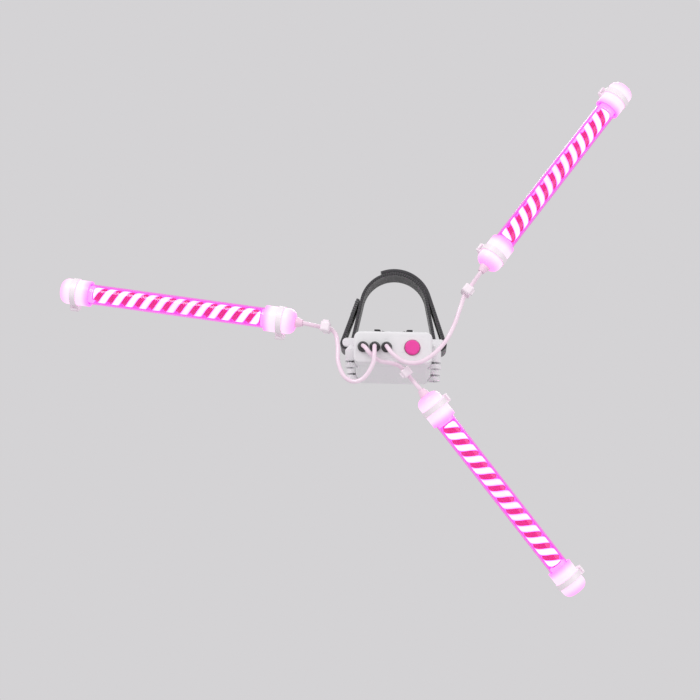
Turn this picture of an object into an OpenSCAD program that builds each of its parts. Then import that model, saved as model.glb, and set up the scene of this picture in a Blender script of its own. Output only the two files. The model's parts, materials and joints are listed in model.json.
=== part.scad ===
/* [Strap loop] */
// Inner radius of the strap's loop
hub_r = 15; // [13:0.5:17]

/* [Light places] */
// Direction of each light round the origin: left, upper and lower
tube_angle = [171.5, 54.5, -50.5]; // [-180:0.5:180]
// Sideways distance of each light's line from the origin
tube_offset = [20, -26, -18]; // [-30:0.5:30]
// Distance of each light's inner tip along its line
tube_start = [43, 36.5, 46]; // [30:0.5:60]
// Distance of the inner tips in front of the origin
tube_depth = 34.5; // [32:0.5:40]
// Angle by which each light leans back towards its outer tip
spoke_lean = 9; // [0:0.5:12]
// Diameter of the stiff wire that the seats in the caps take
spoke_d = 2; // [1.8:0.1:2.3]

/* [Light tubes] */
// Length of a light over both end caps
light_len = 115; // [90:1:140]
// Outer diameter of the clear tube
tube_od = 9.6; // [9.2:0.1:11]
// Wall of the clear tube
tube_wall = 0.7; // [0.5:0.05:0.9]

/* [End caps] */
// Length of an end cap
cap_len = 14.5; // [14:0.5:20]
// Wall of an end cap round the tube
cap_wall = 1.15; // [1:0.05:2]
// Rounding of an end cap's tip
cap_round = 3.5; // [2:0.25:4]
// Thickness of an end cap's tip
cap_tip = 2; // [1.5:0.1:3]
// Room for the wiring behind the tube's end
cap_cavity = 3.2; // [3:0.1:5]
// Gap between a seat's axis and the cap's side
spoke_stand = 0.1; // [0:0.05:0.3]

/* [Light emitters] */
// Diameter of an emitter's lens
led_d = 5; // [3:0.1:5.2]
// Diameter of an emitter's foot
led_foot_d = 5.8; // [5.4:0.1:6.2]
// Thickness of an emitter's foot
led_foot_t = 1; // [0.8:0.1:1.5]
// Length of an emitter from foot to lens tip
led_len = 8; // [6:0.1:8.6]
// Width of an emitter's leg
led_leg_w = 0.5; // [0.3:0.05:0.6]
// Spacing of an emitter's legs
led_leg_gap = 2.54; // [2:0.02:3]
// Length of an emitter's legs
led_leg_len = 2.2; // [1:0.1:2.6]
// Depth of an emitter's foot inside its holder
led_sink = 0.6; // [0.2:0.1:1]

/* [Light rod] */
// Spiral ribs on the light rod
rib_count = 2; // [1:1:3]
// Turns of each rib
rib_turns = 6; // [3:0.5:7]
// Share of the rod's side that the ribs cover
rib_share = 0.55; // [0.4:0.05:0.6]
// Slope of a rib's sides, as an angle round the rod
rib_draft = 8; // [4:1:12]
// Length of the slope at a rib's end
rib_slope = 0.8; // [0.5:0.1:1.5]
// Play between the ribs and the tube's bore
rib_play = 0.55; // [0.5:0.05:0.9]
// Depth of the rod's ends in the emitters' holders
rod_seat = 2; // [1:0.25:3]
// Diameter of a feed wire beside the rod
feed_d = 0.4; // [0.3:0.05:0.45]
// Angle between the two feed wires
feed_spread = 24; // [16:1:40]

/* [Ties] */
// Width of a tie's band
tie_w = 2.8; // [2:0.1:4]
// Thickness of a tie's band
tie_t = 1; // [0.8:0.1:1.4]
// Distance of a tie's middle from the cap's tip
tie_place = 7; // [6:0.25:9]
// Depth of the tie groove in a cap
tie_groove = 0.5; // [0.3:0.05:0.6]
// Length of a tie's head along the band
tie_head_l = 4.4; // [3.5:0.1:5]
// Width of a tie's head across the band
tie_head_w = 4.2; // [3.5:0.1:5]
// Height of a tie's head
tie_head_h = 3.2; // [2.5:0.1:4]
// Rounding of a tie's head
tie_head_round = 0.9; // [0.4:0.1:1.2]
// Direction of a tie's head, from the seat's side of the cap
tie_head_angle = 60; // [50:5:120]
// Distance of a lead's tie from the cap's tip
lead_tie_place = 14; // [13:0.25:14.5]

/* [Leads] */
// Diameter of a lead
lead_d = 2; // [1.6:0.1:2.2]
// Length of the strain relief outside the cap
boot_len = 3.5; // [3:0.25:4]
// Diameter of the strain relief at the cap
boot_d = 4.8; // [4.4:0.1:5.4]
// Diameter of the strain relief's nose
boot_nose_d = 3; // [2.8:0.1:3.6]
// Diameter of the hole that holds the strain relief
boot_hole_d = 3.6; // [3.2:0.1:4]
// Spacing of the lead glands on the pack
gland_pitch = 5.5; // [5.2:0.1:6]
// Distance of the middle gland from the pack's centre line
gland_x = 8.5; // [8:0.1:9]
// Diameter of a gland's collar
gland_d = 5; // [4.6:0.1:5.2]
// Diameter of the hole that holds a gland
gland_hole_d = 3.8; // [3.4:0.1:4]
// Length of a gland outside the pack
gland_len = 3.5; // [3:0.25:4]

/* [Battery cells] */
// Diameter of a cell
cell_d = 10.5; // [10:0.1:11]
// Length of a cell with its button
cell_len = 44.5; // [42:0.5:48]
// Diameter of a cell's button
nub_d = 3.8; // [3:0.1:5]
// Length of a cell's button
nub_len = 0.8; // [0.5:0.1:1.2]
// Gap between neighbouring cells
cell_gap = 0.5; // [0.3:0.1:1]
// Play round the cells in their bay
cell_play = 0.3; // [0.2:0.05:0.6]
// Length of a contact spring
spring_len = 3.6; // [3.4:0.1:5]
// Wire of a contact spring
spring_wire = 0.5; // [0.4:0.05:0.5]
// Turns of a contact spring
spring_turns = 3; // [2:0.5:3]
// Diameter of a contact spring at its foot
spring_foot_d = 7.2; // [6:0.1:8]
// Diameter of a contact spring at the cell
spring_tip_d = 4.4; // [4:0.1:5]
// Thickness of a contact plate
plate_t = 0.4; // [0.3:0.05:0.6]
// Width and height of a contact plate for one cell
plate_w = 8.4; // [7:0.1:9]

/* [Pack case] */
// Distance of the pack's front in front of the origin
pack_front = 31; // [29:0.5:31.5]
// Gap between the inside of the strap's loop and the case
pad_gap = 1.3; // [1:0.1:3]
// Wall of the case
case_wall = 1.8; // [1.5:0.1:2.5]
// Rounding of the case's edges
case_round = 3.5; // [2.5:0.25:4]
// Thickness of the end panel
panel_t = 1.8; // [1.5:0.1:2.5]
// Rounding of the end panel's front edge
panel_round = 1.2; // [0.5:0.1:1.4]
// Depth of the room for the circuit board
board_room = 6; // [5.9:0.1:7]
// Thickness of the wall between the board and the cover
skirt_t = 1; // [0.8:0.1:1.5]
// Width of the ledge that the seal meets in front
ledge_w = 1.2; // [1:0.1:2]
// Thickness of the battery cover
cover_t = 2.2; // [2:0.1:3]
// Thickness of the cover's seal
seal_t = 0.8; // [0.5:0.1:1.2]
// Height of the locating lips on the cover
lip_h = 2; // [1:0.1:2.2]
// Thickness of the locating lips
lip_t = 1; // [0.8:0.1:1.2]
// Height of the ribs between the cells
rib_h = 1.9; // [1:0.1:2.2]
// Thickness of the ribs between the cells
rib_t = 1; // [0.8:0.1:1.4]

/* [Cover screws] */
// Diameter of a cover screw
screw_d = 1.6; // [1.4:0.1:2]
// Length of a cover screw under its head
screw_len = 7; // [5:0.5:8]
// Diameter of a screw's head
screw_head_d = 3.8; // [3.2:0.1:4]
// Height of a screw's head
screw_head_h = 1.2; // [1:0.1:1.4]
// Width of the cross in a screw's head
screw_cross_w = 0.5; // [0.4:0.05:0.7]
// Length of the cross in a screw's head
screw_cross_l = 2.4; // [2:0.1:3]
// Diameter of a screw ear
ear_d = 6; // [5.6:0.1:7]
// Distance of a screw ear's centre from the case's side
ear_out = 1.3; // [1.3:0.1:2]
// Height of the sloping top of a screw ear
ear_slope = 2.5; // [2:0.25:3]
// Distance of the rear ears from the case's rear
ear_inset = 9; // [7:0.5:12]

/* [Power button] */
// Diameter of the power button
button_d = 7; // [6:0.1:7.4]
// How far the button stands out
button_proud = 1.2; // [0.8:0.1:2]
// Travel of the button
button_travel = 0.7; // [0.4:0.05:0.8]
// Width of the button's inner rim
button_rim = 0.8; // [0.6:0.05:0.9]
// Thickness of the button's inner rim
button_rim_t = 0.7; // [0.5:0.05:0.8]
// Rounding of the button's edge
button_round = 0.8; // [0.4:0.1:1]
// Distance of the button from the pack's centre line
button_x = 9; // [8.5:0.1:9.5]
// Thickness of the circuit board
board_t = 1; // [0.8:0.1:1.2]
// Width of the circuit board
board_w = 31; // [28:0.5:32]
// Height of the circuit board
board_h = 10.5; // [9:0.1:11]
// Play at the circuit board's ends in its room
board_end_play = 1.05; // [0.3:0.05:1.5]
// Play above and below the circuit board in its room
board_play = 0.5; // [0.3:0.05:1]
// Width of the switch body
switch_w = 6; // [5:0.1:6.4]
// Diameter of the switch's plunger
plunger_d = 3.2; // [2.5:0.1:3.5]

/* [Strap and pad] */
// Width of the strap
strap_w = 18; // [14:0.5:20]
// Thickness of the strap
strap_t = 1.5; // [1.2:0.1:1.8]
// Diameter of a strap bar on the case
bar_d = 3; // [2.6:0.1:4]
// Width of the slot between a strap bar and the case
bar_slot = 2.4; // [2.2:0.1:3]
// Depth of a strap bar's axis below the case's top
bar_drop = 2; // [2:0.1:3]
// Thickness of the arms that carry a strap bar
arm_t = 2.5; // [2:0.1:3]
// Direction in which the strap's loose end stops
strap_end_angle = 112; // [60:2:150]
// Length of the strap's sewn fold
sewn_len = 22; // [16:0.5:24]
// Width of the pad inside the strap's loop
pad_w = 18; // [15:0.5:22]
// Height of the pad's shoulders above the case
pad_h = 2.8; // [2.6:0.1:3.5]
// Length of the pad
pad_len = 40; // [20:1:44]
// Radius of a grip groove in the pad
groove_r = 0.5; // [0.3:0.05:0.6]
// Angle between neighbouring grip grooves
groove_pitch = 11; // [9:0.5:11.5]

/* [Fits] */
// Gap of a tube in its cap and of a holder in its tube
seat_fit = 0.05; // [0.02:0.01:0.1]
// Gap round the stiff wire in its seat
spoke_fit = 0.05; // [0.02:0.01:0.1]
// Gap round a lead in its strain relief, its gland and its tie
lead_fit = 0.1; // [0.05:0.05:0.2]
// Slack of a tie round the stiff wire
tie_slack = 0.25; // [0.2:0.05:0.4]
// Gap between parts that move apart
run_gap = 0.2; // [0.1:0.05:0.3]
// Gap between parts that lie against each other
rest_gap = 0.1; // [0.05:0.05:0.15]

/* [Hidden] */
$fn = 48;
LIGHTS = [0, 1, 2];
CELLS = [0, 1, 2];
side = ["left", "upper", "lower"];
// Length by which a cutting shape passes the face that it opens
cut = 1;
// Overlap that joins the runs and turns of a band, and the step of a run over its turns
lap = 0.4;
step = 0.02;
// Widest sector that a ring is cut by
sector = 45;
// Rings of a winding's strand in one curl, and its sides
curl_rings = 8;
strand_sides = 6;
// Rings of the light rod in one turn of its ribs, and steps across a rib
turn_rings = 10;
rib_steps = 3;
lead_sides = 8;
// Points between two route points of a lead
route_steps = 2;

// Radii of a light and places along it, counted from its inner tip
tube_r = tube_od / 2;
bore_r = tube_r - tube_wall;
cap_r = tube_r + seat_fit + cap_wall;
tube_seat = cap_tip + cap_cavity;
led_base = tube_seat + led_sink;
led_tip = led_base + led_len;
rod_start = led_tip + 2 * rest_gap;
rod_len = light_len - 2 * rod_start;
holder_end = rod_start + rod_seat;
rod_r = led_d / 2;
rib_r = bore_r - rib_play;
feed_r = bore_r - seat_fit - feed_d / 2;
feed_start = led_base - led_leg_len;
// Slot of a holder that the feed wires pass through
slot_depth = feed_r * cos(feed_spread / 2) - feed_d / 2 - seat_fit;
slot_half = feed_r * sin(feed_spread / 2) + feed_d;
spoke_axis = cap_r + spoke_stand;
seat_r = spoke_d / 2 + spoke_fit;
lead_r = lead_d / 2;
lead_hole_r = lead_r + lead_fit;
// Flange that keeps a strain relief or a gland in its hole
flange_t = 0.8;
flange_w = 0.6;
// Ties: radius round a cap, and the axis of a tied lead
tie_r = cap_r - tie_groove + seat_fit;
tie_spoke_r = spoke_d / 2 + tie_slack;
tied_lead = spoke_axis - spoke_d / 2 - 2 * lead_fit - lead_r;

// Levels of the pack below the origin
case_top = hub_r + pad_gap;
cavity_top = case_top + case_wall;
cell_level = cavity_top + cell_play + cell_d / 2;
cover_in = cell_level + cell_d / 2 + cell_play;
rim_level = cover_in - seal_t;
case_bottom = max(cover_in + cover_t, cavity_top + board_h + 2 * board_play + case_wall);
room_bottom = case_bottom - case_wall;
face_level = (cavity_top + room_bottom) / 2;
// Half widths of the pack
cell_pitch = cell_d + cell_gap;
bay_half = cell_pitch + cell_d / 2 + cell_play;
room_half = max(bay_half, board_w / 2 + board_end_play);
case_half = room_half + case_wall;
ear_x = case_half + ear_out;
// Level of the screws' tips, and the straight part of the ears round them
screw_tip = case_bottom - run_gap - screw_head_h - screw_len;
ear_h = rim_level - screw_tip + run_gap;
// Places along the pack, from its front panel to its rear
front_y = -pack_front;
panel_in = front_y + panel_t;
room_back = panel_in + board_room;
skirt_back = room_back + skirt_t;
bay_near = skirt_back + ledge_w;
bay_len = cell_len + spring_len + 2 * plate_t + 2 * rest_gap;
bay_far = bay_near + bay_len;
rear_y = bay_far + case_wall;
cover_near = skirt_back + run_gap;
board_back = room_back - run_gap;
board_front = board_back - board_t;
ear_near = -(strap_w / 2 + run_gap + arm_t + ear_d / 2 + cut);
ear_far = rear_y - ear_inset;
// Places of the button and its switch, from the panel's inner face
rim_front = panel_in + rest_gap;
rim_back = rim_front + button_rim_t;
switch_front = rim_back + button_travel + rest_gap;
plunger_in = button_travel + run_gap;
// Places of the glands across the pack, in the order of the lights
gland_place = [-gland_x, -gland_x + gland_pitch, -gland_x - gland_pitch];
// Chips on the circuit board: across, up, width, height and thickness
board_chips = [
    [2.8, 1.5, 4, 4, 1.2],
    [2.8, -3, 3.2, 1.6, 0.6],
    [-11.2, 3.6, 3.2, 1.6, 0.6],
    [-5.8, 3.6, 3.2, 1.6, 0.6]
];
// Strap: bar places and the directions in which the strap leaves its round top
bar_x = case_half + bar_slot + bar_d / 2;
bar_z = -(case_top + bar_drop);
bar_far = norm([bar_x, bar_z]);
bar_dir = atan2(bar_z, bar_x);
wrap_r = bar_d / 2 + rest_gap;
outer_ply_r = hub_r + strap_t + rest_gap;
inner_off = bar_dir + acos((hub_r + strap_t + wrap_r) / bar_far);
outer_off = bar_dir + acos((outer_ply_r - wrap_r) / bar_far);
outer_run = sqrt(pow(bar_far, 2) - pow(outer_ply_r - wrap_r, 2));

// Free route of each lead from its gland to its tie, chosen by hand
lead_route = [
    [[-8.5, -39.3, -25.4], [-8.5, -41.2, -29], [-9.2, -41.4, -34], [-13, -41, -40], [-18, -40.3, -41.8],
     [-22.6, -39.2, -38.8], [-25.2, -37.4, -32], [-25.6, -35.2, -24.5], [-26.8, -33.6, -18.6]],
    [[-2.4, -39.2, -25.4], [0.4, -41, -29], [5.8, -41.2, -32.4], [12.5, -40.4, -32.2], [19, -39.2, -28],
     [24.5, -37.6, -21.4], [28.4, -35.7, -13.2], [31, -33.9, -5]],
    [[-12.6, -38.4, -25.6], [-10.2, -39.2, -28.6], [-5.8, -37, -31.4], [-1.2, -35.4, -32],
     [2.6, -33.6, -32.8]]
];

LIGHT_PARTS = ["light_tube", "inner_cap", "outer_cap", "inner_holder", "outer_holder", "inner_led",
    "outer_led", "light_rod", "feed_wires", "lead_boot", "lead", "lead_gland"];

// Directions and places
function dir(a) = [cos(a), sin(a)];
function unit(v) = v / norm(v);
function on_plane(i, p) = let (a = tube_angle[i])
    [p.x * cos(a) - p.z * sin(a), p.y, p.x * sin(a) + p.z * cos(a)];
// Point beside light i: t along it from its inner tip, back towards its seats
function light_point(i, t, back) = on_plane(i, [
    tube_start[i] + t * cos(spoke_lean) - back * sin(spoke_lean),
    t * sin(spoke_lean) + back * cos(spoke_lean) - tube_depth,
    tube_offset[i]
]);

// Smooth curve through route points
function curve_point(a, b, c, d, f) = b + f * (c - a) / 2
    + pow(f, 2) * (2 * a - 5 * b + 4 * c - d) / 2 + pow(f, 3) * (3 * b - a - 3 * c + d) / 2;
function curve(p) = let (last = len(p) - 1) concat(
    [for (j = [0:last - 1]) for (k = [0:route_steps - 1])
        curve_point(p[max(j - 1, 0)], p[j], p[j + 1], p[min(j + 2, last)], k / route_steps)],
    [p[last]]
);
// Whole course of lead i, from the circuit board to the light's legs
function lead_path(i) = let (x = gland_place[i], z = -face_level) concat(
    [[x, board_front - rest_gap, z], [x, front_y, z]],
    curve(concat(
        [[x, front_y - gland_len, z]],
        lead_route[i],
        [light_point(i, -lead_tie_place - tie_w / 2, tied_lead),
         light_point(i, -lead_tie_place + tie_w / 2, tied_lead),
         light_point(i, -(lead_tie_place - tie_w / 2 + boot_len) / 2, tied_lead / 2),
         light_point(i, -boot_len, 0)]
    )),
    [light_point(i, cap_tip + flange_t, 0)]
);

// Strand of a winding along +X, with straight ends
function winding(length, turns, r_from, r_to, strand) = let (n = ceil(turns * curl_rings)) concat(
    [[0, r_from, 0]],
    [for (j = [0:n]) let (f = j / n, r = r_from + f * (r_to - r_from), a = 360 * turns * f)
        [strand + f * (length - 2 * strand), r * cos(a), r * sin(a)]],
    [[length, r_to * cos(360 * turns), r_to * sin(360 * turns)]]
);
// Least gap of a strand to itself, past half a curl along it
function least_gap(p, strand) = min([for (j = [0:len(p) - 1]) for (k = [j + curl_rings / 2 + 1:1:len(p) - 1])
    norm(p[j] - p[k])]) - strand;
function path_len(p, j = 1) = j < len(p) ? norm(p[j] - p[j - 1]) + path_len(p, j + 1) : 0;
function path_dir(p, j) = unit(p[min(j + 1, len(p) - 1)] - p[max(j - 1, 0)]);
function square_to(v, t) = unit(v - (v * t) * t);
function ring_starts(p, v) = [for (j = 0, n = square_to(v, path_dir(p, 0)); j < len(p);
    j = j + 1, n = j < len(p) ? square_to(n, path_dir(p, j)) : n) n];

// Outline of the light rod: the direction and radius of each point, rib by rib
rod_outline = let (pitch = 360 / rib_count, top = pitch * rib_share / 2, foot = pitch / 2 - top - rib_draft)
    [for (n = [0:rib_count - 1]) each concat(
        [for (j = [0:rib_steps]) [n * pitch + top * (2 * j / rib_steps - 1), rib_r]],
        [for (j = [0:rib_steps]) [(n + 0.5) * pitch + foot * (2 * j / rib_steps - 1), rod_r]]
    )];
// Rings of the light rod: place along it, share of the ribs' height and share of their turns
rod_rings = let (from = rod_seat + rest_gap, past = from + rib_slope, n = ceil(rib_turns * turn_rings))
    concat(
        [[0, 0, 0], [from, 0, 0]],
        [for (j = [0:n]) [past + (rod_len - 2 * past) * j / n, 1, j / n]],
        [[rod_len - from, 0, 1], [rod_len, 0, 1]]
    );
spring_foot_r = (spring_foot_d - spring_wire) / 2;
spring_tip_r = (spring_tip_d - spring_wire) / 2;
spring_path = winding(spring_len, spring_turns, spring_foot_r, spring_tip_r, spring_wire);
echo(str("Least gap of a contact spring to itself: ", least_gap(spring_path, spring_wire), " mm"));
for (i = LIGHTS) echo(str("Length of the ", side[i], " lead: ", path_len(lead_path(i)), " mm"));

// Closed solid over rings of points
module skin(points, sides) {
    walls = [for (j = [0:len(points) / sides - 2]) for (k = [0:sides - 1])
        let (a = j * sides + k, b = j * sides + (k + 1) % sides)
            each [[a, a + sides, b + sides], [a, b + sides, b]]];
    ends = [for (k = [1:sides - 2]) let (e = len(points) - sides)
        each [[0, k, k + 1], [e, e + k + 1, e + k]]];
    polyhedron(points = points, faces = concat(walls, ends));
}
// Round strand along a path
module strand_along(path, r, sides, start) {
    starts = ring_starts(path, start);
    skin([for (j = [0:len(path) - 1]) let (t = path_dir(path, j), n = starts[j], b = cross(t, n))
        for (k = [0:sides - 1]) path[j] + r * (cos(360 * k / sides) * n + sin(360 * k / sides) * b)], sides);
}

// Place of light i, with +X along it from its inner tip and +Y towards its seats
module on_light(i) {
    rotate([0, -tube_angle[i], 0])
        translate([tube_start[i], -tube_depth, tube_offset[i]])
            rotate([0, 0, spoke_lean]) children();
}
module at_outer_end() {
    translate([light_len, 0, 0]) mirror([1, 0, 0]) children();
}
// Outline in radius and length, turned round the light's axis
module turned() {
    rotate([0, 90, 0]) rotate_extrude() children();
}
module rod(from, to, r) {
    translate([from, 0, 0]) rotate([0, 90, 0]) cylinder(h = to - from, r = r);
}
// Outline in X and Z, drawn along Y
module along_y(from, to) {
    translate([0, to, 0]) rotate([90, 0, 0]) linear_extrude(to - from) children();
}
module span(x, y, z) {
    translate([x[0], y[0], z[0]]) cube([x[1] - x[0], y[1] - y[0], z[1] - z[0]]);
}
module rounded_rect(w, h, r) {
    translate([r, 0]) square([w - 2 * r, h]);
    translate([0, r]) square([w, h - 2 * r]);
    for (x = [r, w - r]) for (y = [r, h - r]) translate([x, y]) circle(r);
}
// Straight run of a band, lapped at both ends: its inner face, its outward direction and its thickness
module band_run(from, to, out, t) {
    past = lap * unit(to - from);
    translate(step * out) polygon([from - past, to + past, to + past + t * out, from - past + t * out]);
}
// Part of a flat ring between two directions
module ring_part(r, t, from, to) {
    steps = ceil((to - from) / sector);
    intersection() {
        difference() {
            circle(r + t);
            circle(r);
        }
        polygon(concat([[0, 0]], [for (j = [0:steps]) 2 * (r + t) * dir(from + (to - from) * j / steps)]));
    }
}

// Clear tube of a light
module light_tube(i) {
    color("pink", 0.4) on_light(i) difference() {
        rod(tube_seat, light_len - tube_seat, tube_r);
        rod(tube_seat - cut, light_len - tube_seat + cut, bore_r);
    }
}

// End cap, with its tie groove and its half-round seat
module end_cap() {
    difference() {
        turned() intersection() {
            union() {
                square([cap_r - cap_round, cap_len]);
                translate([0, cap_round]) square([cap_r, cap_len - cap_round]);
                translate([cap_r - cap_round, cap_round]) circle(cap_round);
            }
            square([cap_r, cap_len]);
        }
        rod(cap_tip, cap_len, bore_r + seat_fit);
        rod(tube_seat, cap_len + cut, tube_r + seat_fit);
        difference() {
            rod(tie_place - tie_w / 2 - rest_gap, tie_place + tie_w / 2 + rest_gap, cap_r + cut);
            rod(tie_place - tie_w, tie_place + tie_w, cap_r - tie_groove);
        }
        translate([0, spoke_axis, 0]) rod(-cut, cap_len + cut, seat_r);
    }
}
module inner_cap(i) {
    color("violet") on_light(i) difference() {
        end_cap();
        rod(-cut, cap_tip + cut, boot_hole_d / 2);
    }
}
module outer_cap(i) {
    color("violet") on_light(i) at_outer_end() end_cap();
}

// Sleeve in the tube's end that holds an emitter and the light rod
module led_holder() {
    difference() {
        rod(tube_seat, holder_end, bore_r - seat_fit);
        rod(tube_seat - cut, led_base + led_foot_t + seat_fit, led_foot_d / 2 + seat_fit);
        rod(tube_seat, holder_end + cut, led_d / 2 + seat_fit);
        span([tube_seat - cut, holder_end + cut], [slot_depth, bore_r], [-slot_half, slot_half]);
    }
}
module inner_holder(i) {
    color("white") on_light(i) led_holder();
}
module outer_holder(i) {
    color("white") on_light(i) at_outer_end() led_holder();
}

// Light emitter with its foot, lens and legs
module emitter() {
    turned() intersection() {
        union() {
            translate([0, led_base]) square([led_foot_d / 2, led_foot_t]);
            translate([0, led_base]) square([led_d / 2, led_len - led_d / 2]);
            translate([0, led_tip - led_d / 2]) circle(led_d / 2);
        }
        translate([0, led_base]) square([led_foot_d, led_len]);
    }
    for (s = [-1, 1]) translate([led_base - led_leg_len, -led_leg_w / 2, s * led_leg_gap / 2 - led_leg_w / 2])
        cube([led_leg_len + led_foot_t, led_leg_w, led_leg_w]);
}
module inner_led(i) {
    color("hotpink") on_light(i) emitter();
}
module outer_led(i) {
    color("hotpink") on_light(i) at_outer_end() emitter();
}

// Rod that carries the light along the tube, with spiral ribs that let it out
module light_rod(i) {
    color("mistyrose") on_light(i) translate([rod_start, 0, 0])
        skin([for (ring = rod_rings) for (p = rod_outline)
            let (r = rod_r + ring[1] * (p[1] - rod_r), a = p[0] - 360 * rib_turns * ring[2])
                [ring[0], r * cos(a), r * sin(a)]], len(rod_outline));
}
// Pair of thin wires to the outer emitter, along the tube's back
module feed_wires(i) {
    color("crimson") on_light(i) for (s = [-1, 1])
        rotate([s * feed_spread / 2, 0, 0]) translate([0, feed_r, 0])
            rod(feed_start, light_len - feed_start, feed_d / 2);
}

// Strain relief where a lead enters its light
module lead_boot(i) {
    color("mistyrose") on_light(i) turned() difference() {
        union() {
            polygon([
                [0, -boot_len], [boot_nose_d / 2, -boot_len], [boot_d / 2, -flange_t], [boot_d / 2, 0], [0, 0]
            ]);
            square([boot_hole_d / 2 - seat_fit, cap_tip]);
            translate([0, cap_tip]) square([boot_hole_d / 2 + flange_w, flange_t]);
        }
        translate([0, -boot_len - cut]) square([lead_hole_r, boot_len + cap_tip + flange_t + 2 * cut]);
    }
}
// Free lead between the pack and a light
module lead(i) {
    color("mistyrose") strand_along(lead_path(i), lead_r, lead_sides, [0, 0, 1]);
}
// Rubber gland where a lead leaves the pack
module lead_gland(i) {
    place = [gland_place[i], front_y, -face_level];
    color("dimgray") translate(place) rotate([90, 0, 0]) rotate_extrude() difference() {
        union() {
            polygon([
                [0, 0], [gland_d / 2, 0], [gland_d / 2, flange_t], [boot_nose_d / 2, gland_len],
                [0, gland_len]
            ]);
            translate([0, -panel_t]) square([gland_hole_d / 2 - seat_fit, panel_t]);
            translate([0, -panel_t - flange_t]) square([gland_hole_d / 2 + flange_w, flange_t]);
        }
        translate([0, -panel_t - 2 * flange_t])
            square([lead_hole_r, panel_t + gland_len + 2 * flange_t + cut]);
    }
}

// Band of a tie round two round things: radii, spacing, and the band's own size
module tie_band(r_a, r_b, apart) {
    phi = acos((r_a - r_b) / apart);
    rotate([90, 0, 90]) linear_extrude(tie_w, center = true) {
        ring_part(r_a, tie_t, phi, 360 - phi);
        translate([apart, 0]) ring_part(r_b, tie_t, -phi, phi);
        for (s = [0, 1]) mirror([0, s])
            band_run(r_a * dir(phi), [apart, 0] + r_b * dir(phi), dir(phi), tie_t);
    }
}
// Lock head of a tie, with its cropped tail
module head_outline(w) {
    translate([-w / 2, -tie_head_round]) rounded_rect(w, tie_head_h + tie_head_round, tie_head_round);
}
module tie_head(r, angle) {
    rotate([angle, 0, 0]) translate([0, r + tie_t / 2, 0]) {
        intersection() {
            span([-tie_head_w / 2, tie_head_w / 2], [0, tie_head_h], [-tie_head_l / 2, tie_head_l / 2]);
            linear_extrude(tie_head_l, center = true) head_outline(tie_head_w);
            rotate([0, 90, 0]) linear_extrude(tie_head_w, center = true) head_outline(tie_head_l);
        }
        span([-tie_w / 2, tie_w / 2], [tie_t, 2 * tie_t], [0, tie_head_l / 2 + tie_t]);
    }
}
module cap_tie() {
    translate([tie_place, 0, 0]) {
        tie_band(tie_r, tie_spoke_r, spoke_axis);
        tie_head(tie_r, tie_head_angle);
    }
}
module tube_ties() {
    color("whitesmoke") for (i = LIGHTS) on_light(i) {
        cap_tie();
        at_outer_end() cap_tie();
    }
}
module lead_ties() {
    color("whitesmoke") for (i = LIGHTS) on_light(i) translate([-lead_tie_place, tied_lead, 0]) {
        tie_band(lead_r + 2 * lead_fit, tie_spoke_r, spoke_axis - tied_lead);
        tie_head(lead_r + 2 * lead_fit, 180);
    }
}

// Outlines of the pack from the front and from above
module case_profile() {
    translate([-case_half, -case_bottom]) rounded_rect(2 * case_half, case_bottom - case_top, case_round);
}
module case_plan(inset) {
    intersection() {
        translate([inset - case_half, front_y - 2 * case_round])
            rounded_rect(2 * (case_half - inset), rear_y - inset - front_y + 2 * case_round,
                case_round - inset);
        translate([-case_half, front_y]) square([2 * case_half, rear_y - front_y]);
    }
}
module case_block(from) {
    intersection() {
        along_y(from, rear_y) case_profile();
        translate([0, 0, -case_bottom]) linear_extrude(case_bottom - case_top) case_plan(0);
    }
}
module at_ears() {
    for (s = [-1, 1]) for (y = [ear_near, ear_far]) translate([s * ear_x, y, 0]) children();
}
// Bars at the case's sides that the strap passes round
module strap_bars() {
    reach = strap_w / 2 + run_gap;
    for (s = [0, 1]) mirror([s, 0, 0]) {
        along_y(-reach - arm_t, reach + arm_t) translate([bar_x, bar_z]) circle(bar_d / 2);
        for (y = [-reach - arm_t, reach]) along_y(y, y + arm_t) {
            translate([bar_x, bar_z]) circle(bar_drop);
            translate([case_half - case_round, bar_z - bar_drop])
                square([bar_x - case_half + case_round, 2 * bar_drop]);
        }
    }
}
// Case with the cell bay, the board room, the strap bars and the screw ears
module case_base() {
    color("whitesmoke") {
        difference() {
            union() {
                case_block(panel_in);
                strap_bars();
                at_ears() {
                    translate([0, 0, -rim_level]) cylinder(h = ear_h, d = ear_d);
                    translate([0, 0, ear_h - rim_level]) cylinder(h = ear_slope, d1 = ear_d, d2 = screw_d);
                }
            }
            span([-bay_half, bay_half], [bay_near, bay_far], [-case_bottom - cut, -cavity_top]);
            span([-room_half, room_half], [panel_in - cut, room_back], [-room_bottom, -cavity_top]);
            span([-ear_x - ear_d, ear_x + ear_d], [skirt_back, rear_y + cut],
                [-case_bottom - cut, -rim_level]);
            at_ears() translate([0, 0, -rim_level - cut])
                cylinder(h = ear_h + cut, d = screw_d + 2 * run_gap);
        }
        for (x = [-cell_pitch / 2, cell_pitch / 2])
            span([x - rib_t / 2, x + rib_t / 2], [bay_near + plate_t + run_gap, bay_far - plate_t - run_gap],
                [-cavity_top - rib_h, -cavity_top + cut]);
    }
}
// Plate of the end panel, with a rounded front edge
module panel_plate() {
    w = 2 * case_half;
    h = case_bottom - case_top;
    past = panel_t + 2 * panel_round;
    corner = [-case_half, front_y, -case_bottom];
    intersection() {
        along_y(front_y, panel_in) case_profile();
        translate(corner) linear_extrude(h) rounded_rect(w, past, panel_round);
        translate(corner) rotate([90, 0, 90]) linear_extrude(w) rounded_rect(past, h, panel_round);
    }
}
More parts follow.
